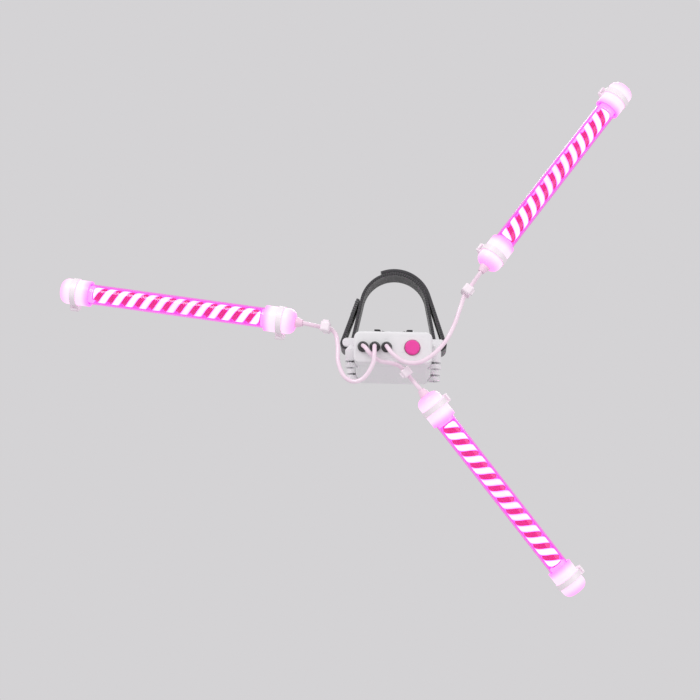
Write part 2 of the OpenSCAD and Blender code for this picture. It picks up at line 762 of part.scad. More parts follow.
// Panel that closes the board room and carries the button and the glands
module end_panel() {
    tab_w = 2 * (room_half - case_round);
    color("whitesmoke") difference() {
        union() {
            panel_plate();
            for (z = [-cavity_top - rest_gap - lip_t, -room_bottom + rest_gap])
                span([-tab_w / 2, tab_w / 2], [panel_in - cut, panel_in + lip_h], [z, z + lip_t]);
        }
        along_y(front_y - cut, panel_in + cut) translate([0, -face_level]) {
            for (x = gland_place) translate([x, 0]) circle(gland_hole_d / 2);
            translate([button_x, 0]) circle(button_d / 2 + run_gap);
        }
    }
}

// Cover over the cells, with its locating lips
module battery_cover() {
    color("whitesmoke") difference() {
        union() {
            intersection() {
                case_block(cover_near);
                span([-case_half, case_half], [cover_near, rear_y], [-case_bottom, -cover_in]);
            }
            at_ears() translate([0, 0, -case_bottom]) cylinder(h = cover_t, d = ear_d);
            for (s = [0, 1]) mirror([s, 0, 0]) span([bay_half - run_gap - lip_t, bay_half - run_gap],
                [bay_near + case_round, bay_far - case_round], [-cover_in - cut, lip_h - cover_in]);
        }
        at_ears() translate([0, 0, -case_bottom - cut]) {
            cylinder(h = cover_t + 2 * cut, d = screw_d + 2 * run_gap);
            cylinder(h = screw_head_h + run_gap + cut, d = screw_head_d + 2 * run_gap);
        }
    }
}
// Rubber seal between the cover and the case
module cover_seal() {
    color("dimgray") translate([0, 0, -cover_in]) linear_extrude(seal_t) difference() {
        intersection() {
            case_plan(run_gap);
            translate([-case_half, cover_near]) square([2 * case_half, rear_y - cover_near]);
        }
        translate([-bay_half, bay_near]) square([2 * bay_half, bay_len]);
    }
}
// Screws that hold the cover
module cover_screws() {
    color("silver") at_ears() translate([0, 0, run_gap - case_bottom]) difference() {
        union() {
            cylinder(h = screw_head_h, d = screw_head_d);
            cylinder(h = screw_head_h + screw_len, d = screw_d);
        }
        for (a = [0, 90]) rotate(a) translate([-screw_cross_l / 2, -screw_cross_w / 2, -cut])
            cube([screw_cross_l, screw_cross_w, cut + screw_head_h / 2]);
    }
}

// Places of the cells: their buttons point to the front, the rear and the front
module on_cell(n) {
    forward = n % 2 == 0;
    tip_y = forward ? bay_near + plate_t + rest_gap : bay_far - plate_t - rest_gap;
    translate([(n - 1) * cell_pitch, tip_y, -cell_level]) rotate([forward ? -90 : 90, 0, 0]) children();
}
// Battery cell, with its button at the origin and its body above
module cell(n) {
    edge = nub_len / 2;
    color("darkorange") on_cell(n) rotate_extrude() polygon([
        [0, 0], [nub_d / 2, 0], [nub_d / 2, nub_len], [cell_d / 2 - edge, nub_len],
        [cell_d / 2, nub_len + edge], [cell_d / 2, cell_len - edge], [cell_d / 2 - edge, cell_len],
        [0, cell_len]
    ]);
}
// Coned springs at the cells' flat ends
module contact_springs() {
    color("silver") for (n = CELLS) on_cell(n)
        translate([0, 0, cell_len + rest_gap + spring_len]) rotate([0, 90, 0])
            strand_along(spring_path, spring_wire / 2, strand_sides, [0, 1, 0]);
}
// Plates that join the cells in a row
module contact_plate(first, last, y) {
    span([(first - 1) * cell_pitch - plate_w / 2, (last - 1) * cell_pitch + plate_w / 2], [y, y + plate_t],
        [-cell_level - plate_w / 2, -cell_level + plate_w / 2]);
}
module contact_plates() {
    color("gold") {
        contact_plate(0, 0, bay_near);
        contact_plate(1, 2, bay_near);
        contact_plate(0, 1, bay_far - plate_t);
        contact_plate(2, 2, bay_far - plate_t);
    }
}

// Board with the driver chip and its resistors
module circuit_board() {
    color("seagreen") translate([0, 0, -face_level]) {
        span([-board_w / 2, board_w / 2], [board_front, board_back], [-board_h / 2, board_h / 2]);
        for (c = board_chips)
            span([c[0] - c[2] / 2, c[0] + c[2] / 2], [board_front - c[4], board_front + board_t / 2],
                [c[1] - c[3] / 2, c[1] + c[3] / 2]);
    }
}
// Push switch on the board, open where its plunger runs
module tact_switch() {
    color("black") translate([button_x, 0, -face_level]) difference() {
        span([-switch_w / 2, switch_w / 2], [switch_front, board_front], [-switch_w / 2, switch_w / 2]);
        along_y(switch_front - cut, switch_front + plunger_in + run_gap) circle(plunger_d / 2 + run_gap);
    }
}
module switch_plunger() {
    color("dimgray") translate([button_x, 0, -face_level])
        along_y(rim_back, switch_front + run_gap) circle(plunger_d / 2);
}
// Button in the end panel, with the rim that keeps it in
module power_button() {
    r = button_d / 2;
    h = button_proud + panel_t + rest_gap + button_rim_t;
    color("deeppink") translate([button_x, rim_back, -face_level]) rotate([90, 0, 0]) rotate_extrude() {
        square([r + button_rim, button_rim_t]);
        square([r, h - button_round]);
        square([r - button_round, h]);
        translate([r - button_round, h - button_round]) circle(button_round);
    }
}

// One leg of the strap round a bar: its run down, its turn and its run back
module strap_leg(back_run) {
    bar = [bar_x, bar_z];
    in_dir = dir(inner_off);
    out_dir = dir(outer_off);
    band_run(hub_r * in_dir, bar - (wrap_r + strap_t) * in_dir, in_dir, strap_t);
    translate(bar) ring_part(wrap_r, strap_t, inner_off + 180, outer_off + 360);
    turn = bar + wrap_r * out_dir;
    band_run(turn + back_run * dir(outer_off + 90), turn, out_dir, strap_t);
}
// Strap: a round top, then round both bars and back over itself
module hub_strap() {
    color("dimgray") along_y(-strap_w / 2, strap_w / 2) {
        ring_part(hub_r, strap_t, inner_off, 180 - inner_off);
        strap_leg(outer_run);
        ring_part(outer_ply_r, strap_t, outer_off, strap_end_angle);
        mirror([1, 0]) strap_leg(sewn_len);
    }
}
// Rubber saddle on top of the case, with grip grooves
module hub_pad() {
    rest_r = hub_r + seat_fit;
    color("dimgray") along_y(-pad_len / 2, pad_len / 2) difference() {
        translate([-pad_w / 2, -case_top]) square([pad_w, pad_h]);
        circle(rest_r);
        for (n = [-2:2]) translate(rest_r * dir(n * groove_pitch - 90)) circle(groove_r);
    }
}

case_base();
end_panel();
battery_cover();
cover_seal();
cover_screws();
for (n = CELLS) cell(n);
contact_springs();
contact_plates();
circuit_board();
tact_switch();
switch_plunger();
power_button();
hub_strap();
hub_pad();
tube_ties();
lead_ties();
for (i = LIGHTS) {
    light_tube(i);
    inner_cap(i);
    outer_cap(i);
    inner_holder(i);
    outer_holder(i);
    inner_led(i);
    outer_led(i);
    light_rod(i);
    feed_wires(i);
    lead_boot(i);
    lead(i);
    lead_gland(i);
}
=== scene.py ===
# %% [markdown]
# # Light set of three tubes
# Three clear tubes hold a glowing spiral each, and thin leads join them to a small battery
# pack in a strap. The hard pieces come packed from CAD as solids that already fit each
# other, so they are only dressed in finishes here. What is soft, wound or spiral gets a new
# mesh, because a fine curve is easier to make in Blender.

# %% Load the packed part
import json
import math

import bmesh
import bpy
from mathutils import Matrix, Vector


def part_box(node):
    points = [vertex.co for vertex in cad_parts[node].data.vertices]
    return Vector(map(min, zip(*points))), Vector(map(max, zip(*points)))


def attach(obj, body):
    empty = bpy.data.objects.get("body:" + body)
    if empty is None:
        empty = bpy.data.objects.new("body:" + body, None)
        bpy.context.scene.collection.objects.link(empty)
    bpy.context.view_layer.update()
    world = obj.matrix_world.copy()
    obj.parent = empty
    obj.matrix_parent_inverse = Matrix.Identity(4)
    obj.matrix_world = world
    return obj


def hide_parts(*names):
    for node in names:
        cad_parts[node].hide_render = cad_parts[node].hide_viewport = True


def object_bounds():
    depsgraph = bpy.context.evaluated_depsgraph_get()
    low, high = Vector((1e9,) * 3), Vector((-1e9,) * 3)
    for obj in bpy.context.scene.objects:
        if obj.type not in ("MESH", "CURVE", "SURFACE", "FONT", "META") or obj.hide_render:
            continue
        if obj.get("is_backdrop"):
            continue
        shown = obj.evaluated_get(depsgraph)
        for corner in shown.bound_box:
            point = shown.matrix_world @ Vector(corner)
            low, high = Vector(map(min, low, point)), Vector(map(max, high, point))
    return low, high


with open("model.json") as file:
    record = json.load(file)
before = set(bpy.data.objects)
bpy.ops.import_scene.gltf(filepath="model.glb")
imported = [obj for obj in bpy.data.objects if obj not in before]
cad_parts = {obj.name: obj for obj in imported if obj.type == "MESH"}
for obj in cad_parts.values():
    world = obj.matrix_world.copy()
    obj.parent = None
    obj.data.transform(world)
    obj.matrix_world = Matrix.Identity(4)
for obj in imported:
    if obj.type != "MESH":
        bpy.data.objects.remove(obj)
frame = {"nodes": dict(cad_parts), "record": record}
cad_low, cad_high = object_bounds()
MM = 0.001
print("CAD box in mm:", [round(size / MM, 1) for size in cad_high - cad_low])

# %% [markdown]
# ## Camera
# The photograph was taken from low down, a little over a metre away, with a wide lens, and
# the light fills only a part of it. The same wide lens would show the light small, so this
# camera stands on the same spot, turns towards the light and uses a longer lens. The
# perspective depends on the spot alone, so it stays the photograph's own.

# %% Camera at the photograph's viewpoint
PHOTO_PX = 700
FOCAL_PX = 560
LIGHT_PX = (399, 496)
MAGNIFY = 4.15
SENSOR_MM = 36
EYE = Vector((0.0073, -1.0972, -0.2100))
PHOTO_RIGHT = Vector((0.9936, 0.1030, 0.0467)).normalized()
PHOTO_UP = Vector((0, -0.4128, 0.9108)).normalized()


def turned_to_light():
    """The photograph's own turn, swung so that the light comes to the middle."""
    photo_ahead = PHOTO_UP.cross(PHOTO_RIGHT)
    right, down = ((pixel - PHOTO_PX / 2) / FOCAL_PX for pixel in LIGHT_PX)
    ahead = (photo_ahead + right * PHOTO_RIGHT - down * PHOTO_UP).normalized()
    swing = photo_ahead.rotation_difference(ahead)
    return Matrix((swing @ PHOTO_RIGHT, swing @ PHOTO_UP, -ahead)).transposed()


def in_scene(name, data):
    """A new object with this data, linked to the scene."""
    made = bpy.data.objects.new(name, data)
    bpy.context.scene.collection.objects.link(made)
    return made


camera = in_scene("camera", bpy.data.cameras.new("camera"))
camera.data.sensor_width = SENSOR_MM
camera.data.lens = FOCAL_PX / PHOTO_PX * SENSOR_MM * MAGNIFY
camera.matrix_world = Matrix.Translation(EYE) @ turned_to_light().to_4x4()
bpy.context.scene.camera = camera
print("Lens in mm:", round(camera.data.lens, 1))

# %% [markdown]
# ## Where the lights lie
# Each light is a straight stick with a half-round seat along its back, by which it is tied
# on. Its place could be measured on the solid, but the record already states the seat's line
# as a mount. The light's own axes follow from it: along the tube, and back to the seat.

# %% Axes of each light
LIGHT_LEN = 115 * MM
SEAT_BACK = 6.1 * MM
REARWARD = Vector((0, 1, 0))
SIDES = ("left", "upper", "lower")
mounts = {mount["name"]: mount for mount in frame["record"]["mounts"]}


class Light:
    """Axes of one light, counted from its inner tip."""

    def __init__(self, side):
        seat = mounts[f"{side}_spoke_seat"]
        self.along = Vector(seat["axis"]).normalized()
        self.back = (REARWARD - self.along * REARWARD.dot(self.along)).normalized()
        self.middle = Vector(seat["pos_m"]) - SEAT_BACK * self.back
        self.tip = self.middle - self.along * LIGHT_LEN / 2

    def point(self, along, back):
        return self.tip + along * self.along + back * self.back

    def matrix(self, along):
        """Place on the tube's axis, turned so that Z runs along the light."""
        across = self.along.cross(self.back)
        turn = Matrix((self.back, across, self.along)).transposed()
        return Matrix.Translation(self.point(along, 0)) @ turn.to_4x4()


lights = {side: Light(side) for side in SIDES}
for side in SIDES:
    print(side, "inner tip in mm:", [round(x / MM) for x in lights[side].tip])

# %% [markdown]
# ## Leads
# A lead is a pair of thin wires in one soft, round jacket. It leaves the pack through a
# rubber gland, hangs in a loose curve, is tied down beside its light and enters it through a
# strain relief. A simulated rope would hang by itself, but it would need a new run after each
# change. The free stretch is a short list of points given in millimetres, and the held
# stretches follow from the pack and the light.

# %% Points of each lead
FACE_Z = -23.85
BOARD_Y = -24.5
PANEL_Y = -31.0
NOSE_Y = -34.5
TIE_FROM_TIP = 14.0
TIE_W = 2.8
TIED_BACK = 3.9
BOOT_LEN = 3.5
LEAD_END = 2.8
GLAND_X = {"left": -8.5, "upper": -3.0, "lower": -14.0}
FREE_ROUTE = {
    "left": [
        (-8.5, -39.3, -25.4), (-8.5, -41.2, -29), (-9.2, -41.4, -34), (-13, -41, -40),
        (-18, -40.3, -41.8), (-22.6, -39.2, -38.8), (-25.2, -37.4, -32),
        (-25.6, -35.2, -24.5), (-26.8, -33.6, -18.6),
    ],
    "upper": [
        (-2.4, -39.2, -25.4), (0.4, -41, -29), (5.8, -41.2, -32.4), (12.5, -40.4, -32.2),
        (19, -39.2, -28), (24.5, -37.6, -21.4), (28.4, -35.7, -13.2), (31, -33.9, -5),
    ],
    "lower": [
        (-12.6, -38.4, -25.6), (-10.2, -39.2, -28.6), (-5.8, -37, -31.4), (-1.2, -35.4, -32),
        (2.6, -33.6, -32.8),
    ],
}


def lead_points(side):
    """All points of a lead, from the circuit board to the legs of its light's emitter."""
    inside = [Vector((GLAND_X[side], y, FACE_Z)) * MM for y in (BOARD_Y, PANEL_Y, NOSE_Y)]
    free = [Vector(point) * MM for point in FREE_ROUTE[side]]
    tie_near = TIE_FROM_TIP - TIE_W / 2
    held = [
        (-TIE_FROM_TIP - TIE_W / 2, TIED_BACK), (-tie_near, TIED_BACK),
        (-(tie_near + BOOT_LEN) / 2, TIED_BACK / 2), (-BOOT_LEN, 0), (LEAD_END, 0),
    ]
    return inside + free + [lights[side].point(along * MM, back * MM) for along, back in held]


print("Points:", {side: len(lead_points(side)) for side in SIDES})

# %% [markdown]
# ## Smooth line of a lead
# A soft lead has no corners. Blender's automatic handles would round the corners of the route
# too, but on a curve of their own. The solid in CAD follows a cubic through the points, so
# that cubic is written here as exact handles, and the new lead lies where the solid does.

# %% Spots and handles of a smooth line
STEPS = 2


def smooth_route(points):
    """Spots of a smooth line through the points, each with the way to its handle."""
    last = len(points) - 1
    route = []
    for j in range(last):
        a, b, c, d = (points[min(max(k, 0), last)] for k in range(j - 1, j + 3))
        run = (c - a) / 2
        bow = (2 * a - 5 * b + 4 * c - d) / 2
        twist = (3 * b - a - 3 * c + d) / 2
        for k in range(STEPS + (j == last - 1)):
            f = k / STEPS
            pull = run + 2 * f * bow + 3 * f**2 * twist
            route.append((b + f * run + f**2 * bow + f**3 * twist, pull / (3 * STEPS)))
    return route


lead_spots = {side: smooth_route(lead_points(side)) for side in SIDES}
print("Spots:", {side: len(lead_spots[side]) for side in SIDES})

# %% [markdown]
# ## Sums on sockets
# The detail of a finish is a few sums on the place of each point. They could be wired node
# by node, but a long tree is hard to read. This class wraps a node's socket, so that the
# sums can be written as Python expressions, and every other node comes from `node`.


# %% Sockets that can be added and multiplied
class Sock:
    """A socket of a node tree, with Python's operators."""

    def __init__(self, tree, out=None):
        self.tree = tree
        self.out = out

    def node(self, kind, settings=(), inputs=(), out=0):
        """Adds a node: its settings first, then the values or links of its sockets."""
        made = self.tree.nodes.new(kind)
        for name, value in dict(settings).items():
            setattr(made, name, value)
        for name, value in dict(inputs).items():
            if isinstance(value, Sock):
                self.tree.links.new(value.out, made.inputs[name])
            else:
                made.inputs[name].default_value = value
        return Sock(self.tree, made.outputs[out])

    def math(self, operation, first, second=0.0):
        return self.node("ShaderNodeMath", {"operation": operation}, {0: first, 1: second})

    def __add__(self, other):
        return self.math("ADD", self, other)

    def __sub__(self, other):
        return self.math("SUBTRACT", self, other)

    def __rsub__(self, other):
        return self.math("SUBTRACT", other, self)

    def __mul__(self, other):
        return self.math("MULTIPLY", self, other)

    def __truediv__(self, other):
        return self.math("DIVIDE", self, other)

    __radd__ = __add__
    __rmul__ = __mul__

    def dot(self, vector):
        settings = {"operation": "DOT_PRODUCT"}
        return self.node("ShaderNodeVectorMath", settings, {0: self, 1: vector}, "Value")

    def length(self):
        return self.node("ShaderNodeVectorMath", {"operation": "LENGTH"}, {0: self}, "Value")

    def part(self, axis):
        """One coordinate of a vector."""
        return self.node("ShaderNodeSeparateXYZ", {}, {0: self}, axis)

    def wave(self, length):
        """From 0 to 1 and back once in each length."""
        return 0.5 + 0.5 * self.math("SINE", self * (2 * math.pi / length))

    def smooth(self, low, high):
        """From 0 at the low value to 1 at the high one, with soft ends."""
        settings = {"interpolation_type": "SMOOTHSTEP"}
        inputs = {"Value": self, "From Min": low, "From Max": high}
        return self.node("ShaderNodeMapRange", settings, inputs, "Result")

    def mix(self, first, second):
        """Colour from first to second as this socket goes from 0 to 1."""
        inputs = {0: self, 6: first, 7: second}
        return self.node("ShaderNodeMix", {"data_type": "RGBA"}, inputs, 2)

    def noise(self, size, detail=2.0):
        """Soft noise whose lumps have about this size."""
        inputs = {"Vector": self, "Scale": 1 / size, "Detail": detail}
        return self.node("ShaderNodeTexNoise", {}, inputs)

    def bump(self, depth, strength=1.0, edge=0.0):
        """Relief of this depth, on edges that are softened by a small radius."""
        soft = self.node("ShaderNodeBevel", {"samples": 4}, {"Radius": edge}, "Normal")
        inputs = {"Height": self, "Distance": depth, "Strength": strength, "Normal": soft}
        return self.node("ShaderNodeBump", {}, inputs, "Normal")


print("Sums:", [name for name in vars(Sock) if not name.startswith("_")])

# %% [markdown]
# ## Finishes
# A finish is one Principled shader. What is the same all over a piece, such as how much it
# bends light, is set on the shader's own sockets. What changes from place to place is worked
# out by a recipe from Object coordinates. Painted images would do too, but they need
# unwrapping, while these sums fit every piece at its real scale.


# %% Making a finish
def rgb(red, green, blue):
    return (red, green, blue, 1.0)


def finish(name, constants, recipe):
    """A material: constants on the shader's own sockets, and what the recipe gives linked."""
    made = bpy.data.materials.new(name)
    made.use_nodes = True
    shader = made.node_tree.nodes["Principled BSDF"]
    for socket, value in constants.items():
        shader.inputs[socket].default_value = value
    place = Sock(made.node_tree).node("ShaderNodeTexCoord", out="Object")
    for socket, source in recipe(place).items():
        made.node_tree.links.new(source.out, shader.inputs[socket])
    return made


print("Finishes so far:", len(bpy.data.materials))

# %% [markdown]
# ## Jacket of the leads
# The jacket is pale pink plastic with a soft gloss. It could be one flat colour, but drawn
# plastic is never quite even. Slow noise mixes two pinks, finer noise varies the gloss and
# adds a faint relief, and a thin coat gives the sharp highlight on top.

# %% Finish of the jacket
JACKET_PINKS = (rgb(0.86, 0.62, 0.78), rgb(0.93, 0.8, 0.88))


def jacket_recipe(place):
    return {
        "Base Color": place.noise(size=6 * MM).mix(*JACKET_PINKS),
        "Roughness": 0.32 + 0.15 * place.noise(size=1.5 * MM),
        "Normal": place.noise(size=2 * MM, detail=3).bump(depth=0.02 * MM, strength=0.3),
    }


lead_jacket = finish("lead_jacket", {"IOR": 1.5, "Coat Weight": 0.3}, jacket_recipe)
print("Jacket nodes:", len(lead_jacket.node_tree.nodes))

# %% [markdown]
# ## Three cords
# Each real lead is one length of round cord. A mesh tube could be swept along the spots, but a
# curve object with a round bevel is shorter to write, bends smoothly, and its own line
# measures the lead's real length.

# %% Curves with a round bevel
LEAD_D = 2 * MM
BEVEL_STEPS = 5
CURVE_STEPS = 5
SET = "light_set"


def lead_curve(name, spots):
    """A round curve through the spots."""
    curve = bpy.data.curves.new(name, "CURVE")
    curve.dimensions = "3D"
    curve.bevel_depth = LEAD_D / 2
    curve.bevel_resolution = BEVEL_STEPS
    curve.resolution_u = CURVE_STEPS
    curve.use_fill_caps = True
    spline = curve.splines.new("BEZIER")
    spline.bezier_points.add(len(spots) - 1)
    for point, (spot, pull) in zip(spline.bezier_points, spots):
        point.handle_left_type = "FREE"
        point.handle_right_type = "FREE"
        point.co = spot
        point.handle_left = spot - pull
        point.handle_right = spot + pull
    curve.materials.append(lead_jacket)
    return curve


for side in SIDES:
    spots = lead_spots[side]
    curve = lead_curve(f"{side}_lead_cord", spots)
    cord = in_scene(curve.name, curve)
    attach(cord, SET)
    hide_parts(f"{side}_lead")

# %% [markdown]
# ## Trees of Geometry Nodes
# The ribs of a light rod, the turns of a spring and the stitches of the strap all follow a
# rule. Loops in Python could place their points one by one, but a tree states each rule once,
# with its sizes as named inputs. Its result is kept as a plain mesh in its place.


# %% Opening, closing and running a tree
def new_tree(name, sockets):
    """A tree with these named inputs: a start for its nodes, and the inputs' sockets."""
    tree = bpy.data.node_groups.new(name, "GeometryNodeTree")
    for socket, kind in sockets.items():
        tree.interface.new_socket(socket, in_out="INPUT", socket_type="NodeSocket" + kind)
    tree.interface.new_socket("Geometry", in_out="OUTPUT", socket_type="NodeSocketGeometry")
    entry = tree.nodes.new("NodeGroupInput")
    given = {socket: Sock(tree, entry.outputs[socket]) for socket in sockets}
    return Sock(tree), given


def close_tree(start, mesh, material):
    """Ends a tree: smooth shading, real meshes for instances, and the material."""
    shaded = start.node("GeometryNodeSetShadeSmooth", {}, {"Geometry": mesh})
    real = start.node("GeometryNodeRealizeInstances", {}, {"Geometry": shaded})
    inputs = {"Geometry": real, "Material": material}
    painted = start.node("GeometryNodeSetMaterial", {}, inputs)
    end = start.tree.nodes.new("NodeGroupOutput")
    start.tree.links.new(painted.out, end.inputs["Geometry"])
    print("Inputs of", start.tree.name, [item.name for item in start.tree.interface.items_tree])
    return start.tree


def grow(name, tree, sizes, place):
    """Runs a tree with these sizes and returns its result as a plain mesh in its place."""
    piece = in_scene(name, bpy.data.meshes.new(name))
    work = piece.modifiers.new("nodes", "NODES")
    work.node_group = tree
    for item in tree.interface.items_tree:
        if item.in_out == "INPUT":
            work[item.identifier] = sizes[item.name]
    graph = bpy.context.evaluated_depsgraph_get()
    mesh = bpy.data.meshes.new_from_object(piece.evaluated_get(graph))
    piece.modifiers.clear()
    mesh.transform(place)
    piece.data = mesh
    print(name, "has", len(mesh.polygons), "faces")
    return piece


print("Trees so far:", len(bpy.data.node_groups))

# %% [markdown]
# ## Light rods
# An emitter shines into each end of a clear pink rod. Raised spiral ribs break the rod's
# smooth side, so the light leaks out along them. The real rod is moulded in one piece. It
# could be swept from a twisted outline, but then nothing would tell the finish where a rib
# is. Here a tree turns a cylinder's rings step by step, pushes out the points that lie on a
# rib, and stores how close each point is to a rib's middle line.

# %% Sizes of a rod
ROD = {
    "Length": 87 * MM, "Rod Radius": 2.5 * MM, "Rib Radius": 3.55 * MM, "Ribs": 2.0,
    "Turns": 6.0, "Share": 0.55, "Draft": math.radians(8), "Plain End": 2.1 * MM,
    "Slope": 0.8 * MM, "Sides": 96, "Rings": 150,
}
ribbed_len = ROD["Length"] - 2 * (ROD["Plain End"] + ROD["Slope"])
print("A rib climbs", round(ribbed_len / ROD["Turns"] / MM, 1), "mm in a turn")


# %% Sums that turn and raise the ribs
def turned_spot(start, radius, angle, height):
    """Point at this radius and angle round Z."""
    x = radius * start.math("COSINE", angle)
    y = radius * start.math("SINE", angle)
    return start.node("ShaderNodeCombineXYZ", {}, {"X": x, "Y": y, "Z": height})


def rib_sums(start, given):
    """Where each point of the plain cylinder goes, and how close it is to a rib."""
    place = start.node("GeometryNodeInputPosition")
    height = place.part("Z")
    turn = start.math("ARCTAN2", place.part("Y"), place.part("X"))
    from_rib = start.math("ARCCOSINE", start.math("COSINE", given["Ribs"] * turn))
    from_tip = 0.5 * given["Length"] - start.math("ABSOLUTE", height)
    rise = from_tip.smooth(given["Plain End"], given["Plain End"] + given["Slope"])
    edge = math.pi * given["Share"]
    rib = rise * (1 - from_rib.smooth(edge, edge + given["Ribs"] * given["Draft"]))
    radius = given["Rod Radius"] + rib * (given["Rib Radius"] - given["Rod Radius"])
    ribbed = given["Length"] - 2 * (given["Plain End"] + given["Slope"])
    share = start.node("ShaderNodeClamp", {}, {"Value": 0.5 + height / ribbed})
    angle = turn - 2 * math.pi * given["Turns"] * share
    return turned_spot(start, radius, angle, height), rise * (1 - from_rib / math.pi)


print("Ribs on a rod:", round(ROD["Ribs"]))


# %% Tree that makes a rod with spiral ribs
def ribbed_rod_tree():
    start, given = new_tree("ribbed_rod", {
        "Length": "Float", "Rod Radius": "Float", "Rib Radius": "Float", "Ribs": "Float",
        "Turns": "Float", "Share": "Float", "Draft": "Float", "Plain End": "Float",
        "Slope": "Float", "Sides": "Int", "Rings": "Int", "Material": "Material",
    })
    inputs = {
        "Vertices": given["Sides"], "Side Segments": given["Rings"], "Depth": given["Length"],
    }
    blank = start.node("GeometryNodeMeshCylinder", {"fill_type": "NGON"}, inputs)
    spot, ridge = rib_sums(start, given)
    inputs = {"Geometry": blank, "Name": "ridge", "Value": ridge}
    marked = start.node("GeometryNodeStoreNamedAttribute", {}, inputs)
    inputs = {"Geometry": marked, "Position": spot}
    shaped = start.node("GeometryNodeSetPosition", {}, inputs)
    return close_tree(start, shaped, given["Material"])


ribbed_rod = ribbed_rod_tree()

# %% [markdown]
# ## Glow of the rods
# On the real light the ribs are white hot near the emitters and a warmer pink in the middle
# of the tube, and the rod between them stays crimson. Lamps inside a glass rod would be true
# to life, but slow and noisy to render. Emission on the surface gives the same picture: the
# stored closeness to a rib chooses between the colours, and the distance from the middle of
# the light sets the heat.

# %% Finish that follows the ribs
RIB_EDGE = (0.42, 0.54)
RIB_CREST = (0.45, 0.8)
HOT_AT = 42 * MM
ROD_TINTS = (rgb(0.4, 0.008, 0.03), rgb(1, 0.85, 0.93))
CRIMSONS = (rgb(0.07, 0.003, 0.008), rgb(0.09, 0.005, 0.012))
RIB_LIGHTS = (rgb(1, 0.45, 0.72), rgb(1, 0.95, 0.97))


def from_middle(place, light):
    """Distance of a point from the light's middle, along the tube."""
    return place.math("ABSOLUTE", place.dot(light.along) - light.along.dot(light.middle))


def rod_glow(side):
    """Bright ribs, hotter towards the emitters, on a crimson rod."""

    def recipe(place):
        ridge = place.node("ShaderNodeAttribute", {"attribute_name": "ridge"}, {}, "Fac")
        rib = ridge.smooth(*RIB_EDGE)
        heat = from_middle(place, lights[side]).smooth(0, HOT_AT)
        glow = 0.35 * heat + 0.65 * ridge.smooth(*RIB_CREST)
        veins = place.noise(size=1.6 * MM)
        return {
            "Base Color": rib.mix(*ROD_TINTS),
            "Emission Color": rib.mix(veins.mix(*CRIMSONS), glow.mix(*RIB_LIGHTS)),
            "Roughness": 0.2 + 0.3 * veins,
        }

    return finish(f"{side}_rod_glow", {"Emission Strength": 4.0, "IOR": 1.49}, recipe)


rod_glows = {side: rod_glow(side) for side in SIDES}
print("Made", [glow.name for glow in rod_glows.values()])

# %% Rod of each light
for side in SIDES:
    sizes = dict(ROD, Material=rod_glows[side])
    rod = grow(f"{side}_ribbed_rod", ribbed_rod, sizes, lights[side].matrix(LIGHT_LEN / 2))
    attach(rod, SET)
    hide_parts(f"{side}_light_rod")

# %% [markdown]
# ## Tubes
# The tube is clear plastic with a strong pink tint, so what shines through it turns magenta.
# It could be a plain see-through surface, but then it would not bend the view of the rod as
# a thick wall does. Transmission with a real IOR does that, a little emission stands for the
# light that the wall carries along, and slow noise keeps the tint from looking drawn.

# %% Giving a finish to packed pieces
nodes = frame["nodes"]


def dress(material, *names):
    """Gives CAD nodes this material."""
    for name in names:
        nodes[name].data.materials.clear()
        nodes[name].data.materials.append(material)
    print(material.name, "dresses", len(names), "pieces")


def each(part):
    return [f"{side}_{part}" for side in SIDES]


print("Pieces that came packed:", len(nodes))

# %% Finish of the tubes
TUBE_TINTS = (rgb(1, 0.27, 0.88), rgb(1, 0.33, 0.94))
TUBE_LIGHTS = (rgb(1, 0.02, 0.75), rgb(1, 0.06, 0.9))
CLEAR = {"IOR": 1.46, "Transmission Weight": 1.0, "Emission Strength": 0.1}


def tube_recipe(place):
    cloud = place.noise(size=9 * MM)
    return {
        "Base Color": cloud.mix(*TUBE_TINTS),
        "Emission Color": cloud.mix(*TUBE_LIGHTS),
        "Roughness": 0.02 + 0.05 * place.noise(size=3 * MM, detail=4),
    }


dress(finish("tube_clear", CLEAR, tube_recipe), *each("light_tube"))

# %% [markdown]
# ## End caps
# The caps are frosted pink plastic, lit from inside: hottest round the emitter, and a deeper
# pink at the open end and at the tip. Light scattered under the surface would give that by
# itself, but it needs many samples and is lost in the export. So the distance from the
# light's middle sets the colour of a soft emission, and fine noise makes the frost.

# %% Finish of the caps
CAP_MOUTH = 43 * MM
LED_AT = 46.5 * MM
TIP_FROM = 53 * MM
CAP_FROSTS = (rgb(1, 0.36, 0.78), rgb(1, 0.46, 0.86))
CAP_LIGHTS = (rgb(1, 0.05, 0.7), rgb(1, 0.85, 0.97))


def cap_glow(side):
    """Frosted plastic that glows most round the emitter."""

    def recipe(place):
        reach = from_middle(place, lights[side])
        tip = reach.smooth(TIP_FROM, LIGHT_LEN / 2)
        heat = reach.smooth(CAP_MOUTH, LED_AT) * (1 - 0.75 * tip)
        frost = place.noise(size=0.7 * MM, detail=3)
        return {
            "Base Color": frost.mix(*CAP_FROSTS),
            "Emission Color": heat.mix(*CAP_LIGHTS),
            "Roughness": 0.3 + 0.2 * frost,
            "Normal": frost.bump(depth=0.02 * MM, strength=0.5),
        }

    return finish(f"{side}_cap_glow", {"Emission Strength": 0.6, "IOR": 1.49}, recipe)


for side in SIDES:
    dress(cap_glow(side), f"{side}_inner_cap", f"{side}_outer_cap")

# %% [markdown]
# ## Sleeves of the emitters
# A white sleeve in each end of a tube holds the emitter and the rod, and some light comes
# through it. It is moulded, and so are many small pieces of this set, so one function makes
# all their finishes: a soft change of tone, a fine grain, and edges that a Bevel node rounds
# in the shading. Rounding every edge in the mesh would cost far more faces.

# %% Moulded plastic, and the sleeves
MOULD_EDGE = 0.25 * MM


